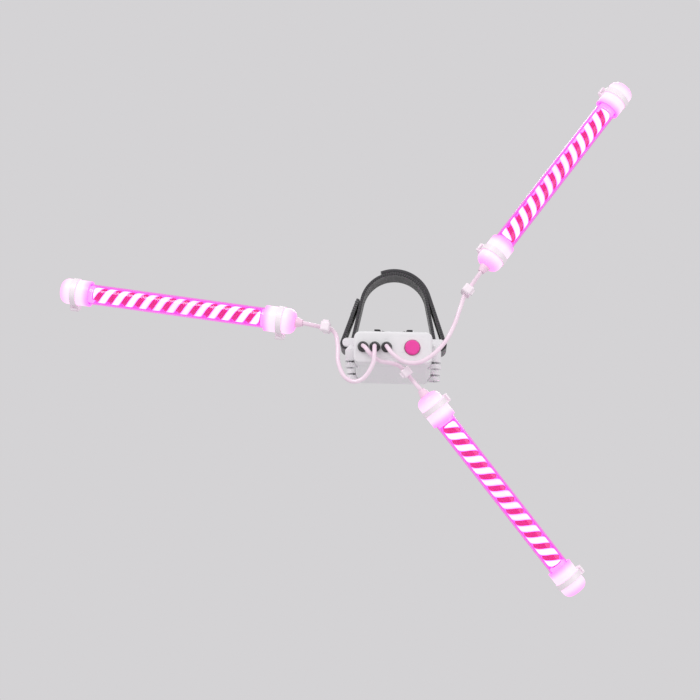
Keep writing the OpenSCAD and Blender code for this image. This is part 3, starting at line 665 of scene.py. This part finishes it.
def moulded(name, tones, rough, grain, depth, constants=()):
    """Moulded plastic or rubber: two tones, a roughness, and a grain of this size and depth."""

    def recipe(place):
        relief = place.noise(size=grain, detail=3)
        return {
            "Base Color": place.noise(size=12 * MM, detail=3).mix(*tones),
            "Roughness": rough + 0.12 * (place.noise(size=4 * MM, detail=3) - 0.5),
            "Normal": relief.bump(depth=depth, strength=0.6, edge=MOULD_EDGE),
        }

    return finish(name, dict(constants), recipe)


LIT_SLEEVE = {"Emission Color": rgb(1, 0.75, 0.9), "Emission Strength": 1.6}
holder_white = moulded(
    "holder_white", (rgb(0.84, 0.7, 0.78), rgb(0.92, 0.8, 0.88)),
    rough=0.5, grain=0.4 * MM, depth=0.02 * MM, constants=LIT_SLEEVE,
)
dress(holder_white, *each("inner_holder"), *each("outer_holder"))

# %% [markdown]
# ## Emitters and feed wires
# Each emitter is a clear lens that shines, and two thin enamelled wires run beside the rod to
# the outer one. Small lamps in the lenses would light the tubes, but the rods glow by
# themselves already, so an emission on the lens is enough. The red enamel is a half metallic
# colour under a glossy coat, because the copper shows through it.

# %% Finish of the emitters and the wires
LENS_TINTS = (rgb(1, 0.8, 0.93), rgb(1, 0.9, 0.97))
LENS_LIGHTS = (rgb(1, 0.7, 0.92), rgb(1, 0.85, 0.97))
ENAMEL_REDS = (rgb(0.42, 0.02, 0.05), rgb(0.62, 0.05, 0.08))


def lens_recipe(place):
    return {
        "Base Color": place.noise(size=1 * MM).mix(*LENS_TINTS),
        "Emission Color": place.noise(size=2 * MM).mix(*LENS_LIGHTS),
    }


def enamel_recipe(place):
    return {
        "Base Color": place.noise(size=3 * MM).mix(*ENAMEL_REDS),
        "Roughness": 0.3 + 0.1 * place.noise(size=1 * MM),
    }


led_lens = finish("led_lens", {"Emission Strength": 3.0, "IOR": 1.5}, lens_recipe)
dress(led_lens, *each("inner_led"), *each("outer_led"))
feed_copper = finish("feed_copper", {"Metallic": 0.6, "Coat Weight": 0.5}, enamel_recipe)
dress(feed_copper, *each("feed_wires"))

# %% [markdown]
# ## Ties and strain reliefs
# The ties are natural nylon, a milky plastic that takes on the pink of the lights, and the
# strain reliefs are soft pink plastic. Both could let light through, but they are thick enough
# to look solid, so the moulded finish with a little coat does for both.

# %% Finish of the ties and the strain reliefs
NYLON = {"IOR": 1.53, "Coat Weight": 0.15}
tie_nylon = moulded(
    "tie_nylon", (rgb(0.9, 0.78, 0.87), rgb(0.95, 0.86, 0.92)),
    rough=0.38, grain=0.5 * MM, depth=0.02 * MM, constants=NYLON,
)
dress(tie_nylon, "tube_ties", "lead_ties")
boot_plastic = moulded(
    "boot_plastic", (rgb(0.88, 0.58, 0.76), rgb(0.94, 0.72, 0.85)),
    rough=0.4, grain=0.5 * MM, depth=0.03 * MM, constants=NYLON,
)
dress(boot_plastic, *each("lead_boot"))

# %% [markdown]
# ## Rubber
# The glands, the seal of the cover and the grooved pad on the case are black rubber. Pure
# black would swallow their shape, so the tones are very dark greys, and a weak sheen
# brightens the edges as the dust on real rubber does.

# %% Finish of the glands, the seal and the pad
RUBBER = {"Sheen Weight": 0.15, "Specular IOR Level": 0.35}
black_rubber = moulded(
    "black_rubber", (rgb(0.02, 0.02, 0.022), rgb(0.035, 0.034, 0.037)),
    rough=0.62, grain=0.35 * MM, depth=0.03 * MM, constants=RUBBER,
)
dress(black_rubber, *each("lead_gland"), "hub_pad", "cover_seal")

# %% [markdown]
# ## Case
# The case, its cover and the end panel are white plastic with the fine grain of an eroded
# mould. Handling leaves faint scratches along them, and the sharp edges go grey and shiny
# first. Wear could be painted by hand. Here a Bevel node finds the edges, where its soft
# normal departs from the plain one, and noise that is stretched along a face draws the
# scratches.

# %% Finish of the case
CASE_TONES = (rgb(0.8, 0.79, 0.81), rgb(0.62, 0.6, 0.63))
WORN_EDGE = 0.4 * MM
SHARPNESS = (0.02, 0.25)
SCRATCH_W = 0.6 * MM
SCRATCH_SPAN = (0.6, 0.74)
PATCH_W = 14 * MM
PATCH_SPAN = (0.42, 0.62)
ALONG_X = (0.12, 1.0, 1.0)
ALONG_Y = (1.0, 0.12, 1.0)


def worn_edges(place):
    """From 0 on flat and softly curved places to 1 on sharp edges."""
    soft = place.node("ShaderNodeBevel", {"samples": 6}, {"Radius": WORN_EDGE}, "Normal")
    plain = place.node("ShaderNodeNewGeometry", out="Normal")
    return (1 - soft.dot(plain)).smooth(*SHARPNESS)


def scratches(place, stretch):
    """Thin marks along the axis of the smallest stretch, in scattered patches."""
    stretched = place.node("ShaderNodeMapping", {}, {"Vector": place, "Scale": stretch})
    marks = stretched.noise(size=SCRATCH_W, detail=4).smooth(*SCRATCH_SPAN)
    return marks * place.noise(size=PATCH_W).smooth(*PATCH_SPAN)


def case_finish(name, stretch):
    """White plastic, greyer and shinier where it is worn."""

    def recipe(place):
        worn = place.math("MAXIMUM", 0.65 * scratches(place, stretch), 0.7 * worn_edges(place))
        grain = place.noise(size=0.35 * MM)
        return {
            "Base Color": worn.mix(*CASE_TONES),
            "Roughness": 0.42 + 0.1 * grain - 0.12 * worn,
            "Normal": grain.bump(depth=0.025 * MM, strength=0.5, edge=WORN_EDGE),
        }

    return finish(name, {"IOR": 1.5}, recipe)


dress(case_finish("case_plastic", ALONG_Y), "case_base", "battery_cover")
dress(case_finish("panel_plastic", ALONG_X), "end_panel")

# %% [markdown]
# ## Button and switch
# The button is pink rubber, soft to the touch, and the switch behind it is black plastic.
# Both are small moulded pieces without a print, so the moulded finish is all they need.

# %% Finish of the button and the switch
button_pink = moulded(
    "button_pink", (rgb(0.78, 0.04, 0.32), rgb(0.88, 0.07, 0.4)),
    rough=0.5, grain=0.3 * MM, depth=0.02 * MM, constants=RUBBER,
)
dress(button_pink, "power_button")
switch_black = moulded(
    "switch_black", (rgb(0.02, 0.02, 0.022), rgb(0.04, 0.04, 0.042)),
    rough=0.45, grain=0.3 * MM, depth=0.02 * MM,
)
dress(switch_black, "tact_switch", "switch_plunger")

# %% [markdown]
# ## Screws and contacts
# The screws are zinc-plated and the contacts nickel-plated steel. A mirror of one grey would
# look new and false. Plating has cloudy tones and a gloss that changes from spot to spot, so
# noise varies both, and one function makes the cool zinc and the warm nickel.

# %% Finish of plated steel
ZINCS = (rgb(0.74, 0.74, 0.77), rgb(0.55, 0.55, 0.58))
NICKELS = (rgb(0.82, 0.79, 0.72), rgb(0.64, 0.61, 0.55))


def plated(name, tones):
    """Plated steel: clouds in its tone and its gloss."""
    return finish(name, {"Metallic": 1.0}, lambda place: {
        "Base Color": place.noise(size=2 * MM, detail=4).mix(*tones),
        "Roughness": 0.22 + 0.25 * place.noise(size=0.8 * MM, detail=4),
    })


dress(plated("screw_steel", ZINCS), "cover_screws")
contact_steel = plated("contact_steel", NICKELS)
dress(contact_steel, "contact_plates")

# %% [markdown]
# ## Cells
# A cell is a steel can in a shrunk plastic sleeve that laps over both ends, with a printed
# ring by its button. Sleeve and can could be two solids, but the film is far thinner than any
# gap between the pieces. So the distance from the cell's axis tells the sleeve from the bare
# steel, and the distance from the button places the ring.

# %% Finish of each cell
SLEEVE_LIP = 4.3 * MM
RING_FROM = 4.5 * MM
RING_TO = 6.0 * MM
PRINT_EDGE = 0.1 * MM
AMBERS = (rgb(0.7, 0.33, 0.05), rgb(0.8, 0.42, 0.09))
RING_INK = rgb(0.05, 0.048, 0.05)
CELL_STEEL = rgb(0.68, 0.67, 0.65)
REVERSED_CELL = 2


def cell_finish(number):
    """Amber sleeve with a dark ring by the button, round bare steel ends."""
    low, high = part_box(f"cell_{number}")
    middle = (low + high) / 2
    button_y = high.y if number == REVERSED_CELL else low.y

    def recipe(place):
        to_axis = (-middle.x, 0.0, -middle.z)
        inputs = {"Vector": place, "Location": to_axis, "Scale": (1.0, 0.0, 1.0)}
        radius = place.node("ShaderNodeMapping", {}, inputs).length()
        sleeve = radius.smooth(SLEEVE_LIP, SLEEVE_LIP + PRINT_EDGE)
        from_button = place.math("ABSOLUTE", place.dot(REARWARD) - button_y)
        past_ring = from_button.smooth(RING_TO, RING_TO + PRINT_EDGE)
        ring = from_button.smooth(RING_FROM, RING_FROM + PRINT_EDGE) * (1 - past_ring)
        amber = place.noise(size=8 * MM, detail=3).mix(*AMBERS)
        film = place.noise(size=2.5 * MM, detail=3)
        return {
            "Base Color": sleeve.mix(CELL_STEEL, ring.mix(amber, RING_INK)),
            "Metallic": 1 - sleeve,
            "Roughness": 0.24 + 0.16 * film,
            "Coat Weight": 0.4 * sleeve,
            "Normal": film.bump(depth=0.05 * MM, strength=0.4),
        }

    return finish(f"cell_{number}_wrap", {"IOR": 1.5}, recipe)


for number in (1, 2, 3):
    dress(cell_finish(number), f"cell_{number}")

# %% [markdown]
# ## Circuit board
# The board is coated green over its copper lines, and its chips are black. Lines and chips
# could be pieces of their own, but the lines are only a hair thick and the chips are part of
# the packed solid. A wave across the board draws the lines, and what stands in front of the
# board's face is painted as chips.

# %% Finish of the circuit board
BOARD_T = 1 * MM
LINE_PITCH = 1.4 * MM
LINE_SPAN = (0.7, 0.8)
RIGHTWARD = Vector((1, 0, 0))
COAT_GREENS = (rgb(0.03, 0.2, 0.08), rgb(0.08, 0.34, 0.14))
CHIP_BLACKS = (rgb(0.015, 0.015, 0.017), rgb(0.03, 0.03, 0.033))
board_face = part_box("circuit_board")[1].y - BOARD_T
chip_span = (board_face - 0.1 * MM, board_face - 0.02 * MM)


def board_recipe(place):
    lines = place.dot(RIGHTWARD).wave(LINE_PITCH).smooth(*LINE_SPAN)
    chips = 1 - place.dot(REARWARD).smooth(*chip_span)
    grain = place.noise(size=0.4 * MM, detail=3)
    return {
        "Base Color": chips.mix(lines.mix(*COAT_GREENS), grain.mix(*CHIP_BLACKS)),
        "Roughness": 0.35 + 0.1 * place.noise(size=2 * MM) + 0.2 * chips,
        "Normal": (chips * grain).bump(depth=0.02 * MM, strength=0.5),
    }


dress(finish("board_green", {}, board_recipe), "circuit_board")

# %% [markdown]
# ## Contact springs
# Coned springs of plated wire press on the flat ends of the cells. A screw modifier would wind
# a coil too, but of one radius. This tree cuts a straight line into many points, turns each
# one round the axis by its height, and lets a round profile follow the line.


# %% Tree that winds a strand
def winding_tree():
    start, given = new_tree("wound_strand", {
        "Length": "Float", "Turns": "Float", "Foot Radius": "Float", "Tip Radius": "Float",
        "Strand": "Float", "Rings": "Int", "Sides": "Int", "Material": "Material",
    })
    end = start.node("ShaderNodeCombineXYZ", {}, {"Z": given["Length"]})
    line = start.node("GeometryNodeCurvePrimitiveLine", {}, {"End": end})
    inputs = {"Curve": line, "Count": given["Rings"]}
    rings = start.node("GeometryNodeResampleCurve", {}, inputs)
    height = start.node("GeometryNodeInputPosition").part("Z")
    strand = given["Strand"]
    wound = (height - strand) / (given["Length"] - 2 * strand)
    share = start.node("ShaderNodeClamp", {}, {"Value": wound})
    turn = 2 * math.pi * given["Turns"] * share
    radius = given["Foot Radius"] + share * (given["Tip Radius"] - given["Foot Radius"])
    inputs = {"Geometry": rings, "Position": turned_spot(start, radius, turn, height)}
    helix = start.node("GeometryNodeSetPosition", {}, inputs)
    inputs = {"Resolution": given["Sides"], "Radius": 0.5 * strand}
    profile = start.node("GeometryNodeCurvePrimitiveCircle", {}, inputs)
    inputs = {"Curve": helix, "Profile Curve": profile, "Fill Caps": True}
    tube = start.node("GeometryNodeCurveToMesh", {}, inputs)
    return close_tree(start, tube, given["Material"])


wound_strand = winding_tree()

# %% [markdown]
# ## Springs in the bay
# The cells lie head to tail, so the middle spring stands at the front of the bay and the
# other two at the rear. Each could be an object of its own, but the part lists them as one
# piece, so their meshes are joined.

# %% Three springs as one piece
SPRING = {
    "Length": 3.6 * MM, "Turns": 3.0, "Foot Radius": 3.35 * MM, "Tip Radius": 1.95 * MM,
    "Strand": 0.5 * MM, "Rings": 130, "Sides": 12, "Material": contact_steel,
}


def joined(name, parts):
    """One piece from the meshes of several, which are then removed."""
    work = bmesh.new()
    mesh = bpy.data.meshes.new(name)
    for part in parts:
        work.from_mesh(part.data)
    work.to_mesh(mesh)
    work.free()
    for material in parts[0].data.materials:
        mesh.materials.append(material)
    for part in parts:
        bpy.data.objects.remove(part)
    print(name, "joins", len(parts), "meshes")
    return in_scene(name, mesh)


def cell_spring(number):
    """Spring whose tip meets the flat end of a cell."""
    low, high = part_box(f"cell_{number}")
    front = number == REVERSED_CELL
    foot = (low.y - SPRING["Length"]) if front else (high.y + SPRING["Length"])
    spot = Vector(((low.x + high.x) / 2, foot, (low.z + high.z) / 2))
    turn = Matrix.Rotation(math.radians(-90 if front else 90), 4, "X")
    return grow(f"spring_{number}", wound_strand, SPRING, Matrix.Translation(spot) @ turn)


springs = joined("cell_springs", [cell_spring(number) for number in (1, 2, 3)])
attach(springs, SET)
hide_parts("contact_springs")

# %% [markdown]
# ## Course of the strap
# The strap is one strip of webbing. It starts at its sewn fold round the left bar of the
# case, arches over the top, turns round the right bar and closes on itself. Its middle line
# could be drawn by hand, but it is made of arcs and of straight runs that touch them, so a
# few angles describe it exactly. Lengths here are counted across and up, from the origin.

# %% Sizes of the strap
LOOP_R = mounts["hub_strap"]["dims"]["r_mm"] * MM
STRAP_T = 1.5 * MM
HALF_T = STRAP_T / 2
PLY_GAP = 0.1 * MM
OUTER_R = LOOP_R + STRAP_T + PLY_GAP
BAR = Vector((22.25, -18.3)) * MM
WRAP_R = 1.6 * MM
SEWN_LEN = 22 * MM
LOOSE_END = math.radians(112)
bar_turn = math.atan2(BAR.y, BAR.x)
inner_off = bar_turn + math.acos((LOOP_R + STRAP_T + WRAP_R) / BAR.length)
outer_off = bar_turn + math.acos((OUTER_R - WRAP_R) / BAR.length)
outer_run = math.sqrt(BAR.length**2 - (OUTER_R - WRAP_R) ** 2)
print("Strap leaves its round top at", round(math.degrees(inner_off)), "degrees")

# %% [markdown]
# ## Middle line of the strap
# Webbing keeps its width and only bends, so its face always looks away from or towards the
# middle of a turn. Each point of the line keeps that direction too. A curve object could
# carry the strip, but it may twist where a turn changes sides, and stored directions don't.

# %% Points and facings of the strap
ARC_STEP = math.radians(4)


def heading(angle):
    return Vector((math.cos(angle), math.sin(angle)))


def arc(centre, radius, first, last, facing):
    """Points and facings of the strap on a turn."""
    steps = max(2, round(abs(last - first) / ARC_STEP))
    turns = [first + (last - first) * j / steps for j in range(steps + 1)]
    return [(centre + radius * heading(a), facing * heading(a)) for a in turns]


def leg(back_run):
    """Turn round the right bar, and the run back up."""
    turn = arc(BAR, WRAP_R + HALF_T, inner_off + math.pi, outer_off + 2 * math.pi, -1)
    top = turn[-1][0] + back_run * heading(outer_off + math.pi / 2)
    return turn + [(top, -heading(outer_off))]


def mirrored(line):
    return [(Vector((-p.x, p.y)), Vector((-n.x, n.y))) for p, n in reversed(line)]


centre = Vector((0, 0))
over_top = arc(centre, LOOP_R + HALF_T, math.pi - inner_off, inner_off, 1)
closing = arc(centre, OUTER_R + HALF_T, outer_off, LOOSE_END, -1)
strap_line = mirrored(leg(SEWN_LEN)) + over_top + leg(outer_run)[:-1] + closing
strap_len = sum((b[0] - a[0]).length for a, b in zip(strap_line, strap_line[1:]))
print("Strap length in mm:", round(strap_len / MM))

# %% [markdown]
# ## Webbing
# The strap is woven from black yarn, with firm edges, and its loose end is fuzzy so that it
# holds on the strap below. Every yarn could be a mesh, but there are hundreds. Two waves
# crossing on the strip's own UV map give the weave, and because that map holds real lengths,
# the weave follows the strip round every turn. The weave's height also sets the colour, as
# painted shade: darker in its hollows and lighter on its crowns.

# %% Finish of the webbing
WEFT_PITCH = 1.1 * MM
WARP_PITCH = 0.9 * MM
WEFT_SLANT = 0.5
FIRM_EDGE = (7.6 * MM, 8.0 * MM)
FUZZY_END = (strap_len - 34 * MM, strap_len - 33 * MM)
# Dark and light greys of the yarn, mixed by the weave's height as painted shade and by the fuzz
# as random tone.
SHADED_YARN_GREYS = (rgb(0.012, 0.012, 0.014), rgb(0.075, 0.073, 0.08))


def webbing_recipe(place):
    strip = place.node("ShaderNodeUVMap", {"uv_map": "strip"})
    along = strip.part("X")
    across = strip.part("Y")
    weft = (along + WEFT_SLANT * across).wave(WEFT_PITCH)
    weave = weft * across.wave(WARP_PITCH)
    edge = place.math("ABSOLUTE", across).smooth(*FIRM_EDGE)
    fuzz = place.noise(size=0.5 * MM, detail=5)
    fuzzy = along.smooth(*FUZZY_END)
    height = fuzzy * fuzz + (1 - fuzzy) * (weave * (1 - edge) + edge * weft)
    # Colour follows the weave's height: painted shade, darker in the hollows and lighter on the
    # crowns, with random tone from the fuzz.
    tone = 0.55 * height + 0.45 * fuzz
    return {
        "Base Color": tone.mix(*SHADED_YARN_GREYS),
        "Roughness": 0.75 + 0.2 * fuzz,
        "Normal": height.bump(depth=0.25 * MM, strength=0.8),
    }


webbing = finish("strap_webbing", {"Sheen Weight": 0.4, "Sheen Roughness": 0.5}, webbing_recipe)
print("Webbing nodes:", len(webbing.node_tree.nodes))

# %% [markdown]
# ## Strap as a mesh
# Cut across, webbing is a flat strip with rounded edges. A bevel modifier could round a sharp
# strip, but it would also round the cut ends. So the section is drawn with its rounding and
# swept along the middle line.

# %% Section of the strap
EDGE_R = 0.5 * MM
CORNER_STEPS = 4
QUARTERS = [(1, 1), (-1, 1), (-1, -1), (1, -1)]
strap_low, strap_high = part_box("hub_strap")
STRAP_W = strap_high.y - strap_low.y


def strap_section():
    """Outline of the strip: across and up, with rounded edges and a crease inside each."""
    outline = []
    crease = STRAP_W / 2 - 3 * EDGE_R
    for quarter, (sx, sy) in enumerate(QUARTERS):
        pivot = Vector((sx * (STRAP_W / 2 - EDGE_R), sy * (HALF_T - EDGE_R)))
        turns = [math.pi / 2 * (quarter + j / CORNER_STEPS) for j in range(CORNER_STEPS + 1)]
        corner = [pivot + EDGE_R * heading(a) for a in turns]
        inner = [Vector((sx * crease, sy * HALF_T))]
        outline += corner + inner if sx * sy > 0 else inner + corner
    return outline


section = strap_section()
print("Points of the section:", len(section))


# %% Sweep of the section
def strap_rings(work):
    """Rings of points along the strap, and how far along it each ring lies."""
    rings = []
    reaches = []
    reach = 0.0
    last = strap_line[0][0]
    for spot, facing in strap_line:
        reach += (spot - last).length
        reaches.append(reach)
        last = spot
        flats = [(spot + up * facing, across) for across, up in section]
        rings.append([work.verts.new((flat.x, across, flat.y)) for flat, across in flats])
    return rings, reaches


def strap_faces(work, rings, reaches):
    """Faces between the rings, with each corner's real place on the strip as its UV."""
    strip = work.loops.layers.uv.new("strip")
    count = len(section)
    for j in range(len(rings) - 1):
        for k in range(count):
            m = (k + 1) % count
            corners = [(j, k), (j, m), (j + 1, m), (j + 1, k)]
            face = work.faces.new([rings[row][column] for row, column in corners])
            face.smooth = True
            for loop, (row, column) in zip(face.loops, corners):
                loop[strip].uv = (reaches[row], section[column].x)
    for ring in (rings[0], rings[-1]):
        work.faces.new(ring)


def swept_strap():
    work = bmesh.new()
    rings, reaches = strap_rings(work)
    strap_faces(work, rings, reaches)
    bmesh.ops.recalc_face_normals(work, faces=work.faces)
    mesh = bpy.data.meshes.new("strap_webbing")
    work.to_mesh(mesh)
    work.free()
    mesh.materials.append(webbing)
    return mesh


strap = in_scene("strap_webbing", swept_strap())
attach(strap, SET)
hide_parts("hub_strap")
print(strap.name, "has", len(strap.data.polygons), "faces")

# %% [markdown]
# ## Stitches
# A box of stitches with a cross holds the sewn fold. Bump could draw them, but a thread stands
# out of the cloth and casts a shadow. Each row is a line of short, fat threads, so a tree sets
# copies of one stretched ball between two points.


# %% Tree for a row of stitches
def stitch_tree():
    start, given = new_tree("stitch_row", {
        "Start": "Vector", "End": "Vector", "Count": "Int", "Thread": "Float",
        "Stretch": "Float", "Sides": "Int", "Rings": "Int", "Material": "Material",
    })
    inputs = {"Start": given["Start"], "End": given["End"]}
    line = start.node("GeometryNodeCurvePrimitiveLine", {}, inputs)
    inputs = {"Curve": line, "Count": given["Count"]}
    spots = start.node("GeometryNodeResampleCurve", {}, inputs)
    settings = {"operation": "SUBTRACT"}
    run = start.node("ShaderNodeVectorMath", settings, {0: given["End"], 1: given["Start"]})
    turn = start.node("FunctionNodeAlignRotationToVector", {"axis": "Z"}, {"Vector": run})
    inputs = {
        "Segments": given["Sides"], "Rings": given["Rings"], "Radius": given["Thread"],
    }
    thread = start.node("GeometryNodeMeshUVSphere", {}, inputs)
    size = start.node("ShaderNodeCombineXYZ", {}, {"X": 1.0, "Y": 1.0, "Z": given["Stretch"]})
    inputs = {"Points": spots, "Instance": thread, "Rotation": turn, "Scale": size}
    row = start.node("GeometryNodeInstanceOnPoints", {}, inputs)
    return close_tree(start, row, given["Material"])


stitch_row = stitch_tree()

# %% [markdown]
# ## Sewn fold
# The real fold is sewn through both plies. The rows could be typed in as points in space, but
# the fold leans, so they are set out flat on it, and one function turns each place on the
# fold into a point just above the cloth.

# %% Box and cross of stitches
STITCH_PITCH = 1.6 * MM
THREAD_R = 0.22 * MM
THREAD_LIFT = 0.4 * THREAD_R
SEWN_FROM = 14.5 * MM
SEWN_TO = 20.5 * MM
SEWN_HALF = 7 * MM
thread_grey = moulded(
    "thread_grey", (rgb(0.1, 0.1, 0.11), rgb(0.2, 0.19, 0.21)),
    rough=0.6, grain=0.2 * MM, depth=0.02 * MM,
)
STITCH = {
    "Thread": THREAD_R, "Stretch": 2.9, "Sides": 8, "Rings": 6, "Material": thread_grey,
}
fold_up = heading(outer_off + math.pi / 2)
fold_out = heading(outer_off)
fold_face = BAR + (WRAP_R + STRAP_T) * fold_out


def on_fold(up, across):
    """Point on the outer face of the sewn fold, which lies on the left."""
    flat = fold_face + up * fold_up + THREAD_LIFT * fold_out
    return Vector((-flat.x, across, flat.y))


def sewn_row(number, first, last):
    """Row of stitches between two corners of the box."""
    count = round((last - first).length / STITCH_PITCH) + 1
    sizes = dict(STITCH, Start=first, End=last, Count=count)
    return grow(f"stitch_row_{number}", stitch_row, sizes, Matrix())


sewn_corners = [(SEWN_FROM, -1), (SEWN_TO, -1), (SEWN_TO, 1), (SEWN_FROM, 1)]
box = [on_fold(up, across * SEWN_HALF) for up, across in sewn_corners]
sides = [(box[j], box[(j + 1) % 4]) for j in range(4)]
cross = [(box[0], box[2]), (box[1], box[3])]
stitch_rows = [sewn_row(number, *ends) for number, ends in enumerate(sides + cross)]
stitches = joined("strap_stitches", stitch_rows)
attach(stitches, SET)

# %% [markdown]
# ## Floor
# The light set hangs above a pale floor, as in a plain studio. A curved paper backdrop is
# the usual way, but it would hide the set from behind. So the floor is one flat sheet that
# thins out towards its edge, and it shows only from above, so as not to hide it from below.

# %% Pale floor
FLOOR_Z = -0.25
FLOOR_HALF = 1.5
FLOOR_FADE = (0.4, 1.4)
PALE = rgb(0.66, 0.65, 0.665)
FLOOR_GREY = rgb(0.64, 0.63, 0.645)


def floor_recipe(place):
    below = place.node("ShaderNodeNewGeometry", out="Backfacing")
    return {
        "Base Color": place.noise(size=300 * MM).mix(FLOOR_GREY, PALE),
        "Alpha": (1 - place.length().smooth(*FLOOR_FADE)) * (1 - below),
    }


floor_mesh = bpy.data.meshes.new("floor")
floor_corners = [(-1, -1), (1, -1), (1, 1), (-1, 1)]
floor_spots = [(x * FLOOR_HALF, y * FLOOR_HALF, FLOOR_Z) for x, y in floor_corners]
floor_mesh.from_pydata(floor_spots, [], [(0, 1, 2, 3)])
floor_mesh.materials.append(finish("floor", {"Roughness": 0.9}, floor_recipe))
in_scene("floor", floor_mesh)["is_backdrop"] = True
print("Floor is", 2 * FLOOR_HALF, "m wide")

# %% [markdown]
# ## Sky
# A studio's walls are pale, and they light the set softly from all sides. One background of
# one strength would either light it too much or look grey. So the world has two backgrounds:
# one is what the camera, reflections and clear pieces see, and the other only gives light.

# %% Pale sky
SKY_LIGHT = 0.7


def pale_sky():
    world = bpy.data.worlds.new("sky")
    world.use_nodes = True
    start = Sock(world.node_tree)
    seen = start.node("ShaderNodeLightPath", out="Is Camera Ray")
    for ray in ("Is Glossy Ray", "Is Transmission Ray"):
        seen = start.math("MAXIMUM", seen, start.node("ShaderNodeLightPath", out=ray))
    inputs = {"Color": rgb(1, 1, 1), "Strength": SKY_LIGHT}
    light = start.node("ShaderNodeBackground", {}, inputs)
    shown = start.node("ShaderNodeBackground", {}, {"Color": PALE, "Strength": 1.0})
    both = start.node("ShaderNodeMixShader", {}, {0: seen, 1: light, 2: shown})
    world.node_tree.links.new(both.out, world.node_tree.nodes["World Output"].inputs["Surface"])
    return world


bpy.context.scene.world = pale_sky()
print("Sky lights the set with strength", SKY_LIGHT)

# %% [markdown]
# ## Lamps
# Three large, soft lamps shape the set: a key from the front left, a weaker fill from the
# right and one from behind that lifts the edges. A single sun would be simpler, but its hard
# shadows hide small pieces. Their power is low, so that colours render about as written.

# %% Soft lamps: place, size and power
LAMPS = {
    "key": ((-0.55, -0.75, 0.7), 0.5, 5.0),
    "fill": ((0.8, -0.6, 0.15), 0.7, 2.0),
    "back": ((0.2, 0.9, 0.6), 0.5, 3.5),
}


def lamp(name, spot, size, power):
    """Square lamp that looks at the origin."""
    made = in_scene(name, bpy.data.lights.new(name, "AREA"))
    made.data.size = size
    made.data.energy = power
    made.location = spot
    made.rotation_mode = "QUATERNION"
    made.rotation_quaternion = (-Vector(spot)).to_track_quat("-Z", "Y")


for name, (spot, size, power) in LAMPS.items():
    lamp(name, spot, size, power)
    print(name, "lamp:", power, "W")
bpy.context.scene.view_settings.view_transform = "Standard"

# %% [markdown] ## Box of the dressed set The dressed set is meant to be as big as the
# solids, so its box is measured and kept beside the CAD box, and its size is printed.
# Hand over The dressed set must be as big as the solids. Both boxes could be compared
# by eye in Blender, but written side by side they can be checked by a program.

# %% Sizes of the dressed set
low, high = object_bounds()
sizes = {"cad": [list(cad_low), list(cad_high)], "visual": [list(low), list(high)]}
print("Visual box in mm:", [round(size / MM, 1) for size in high - low])
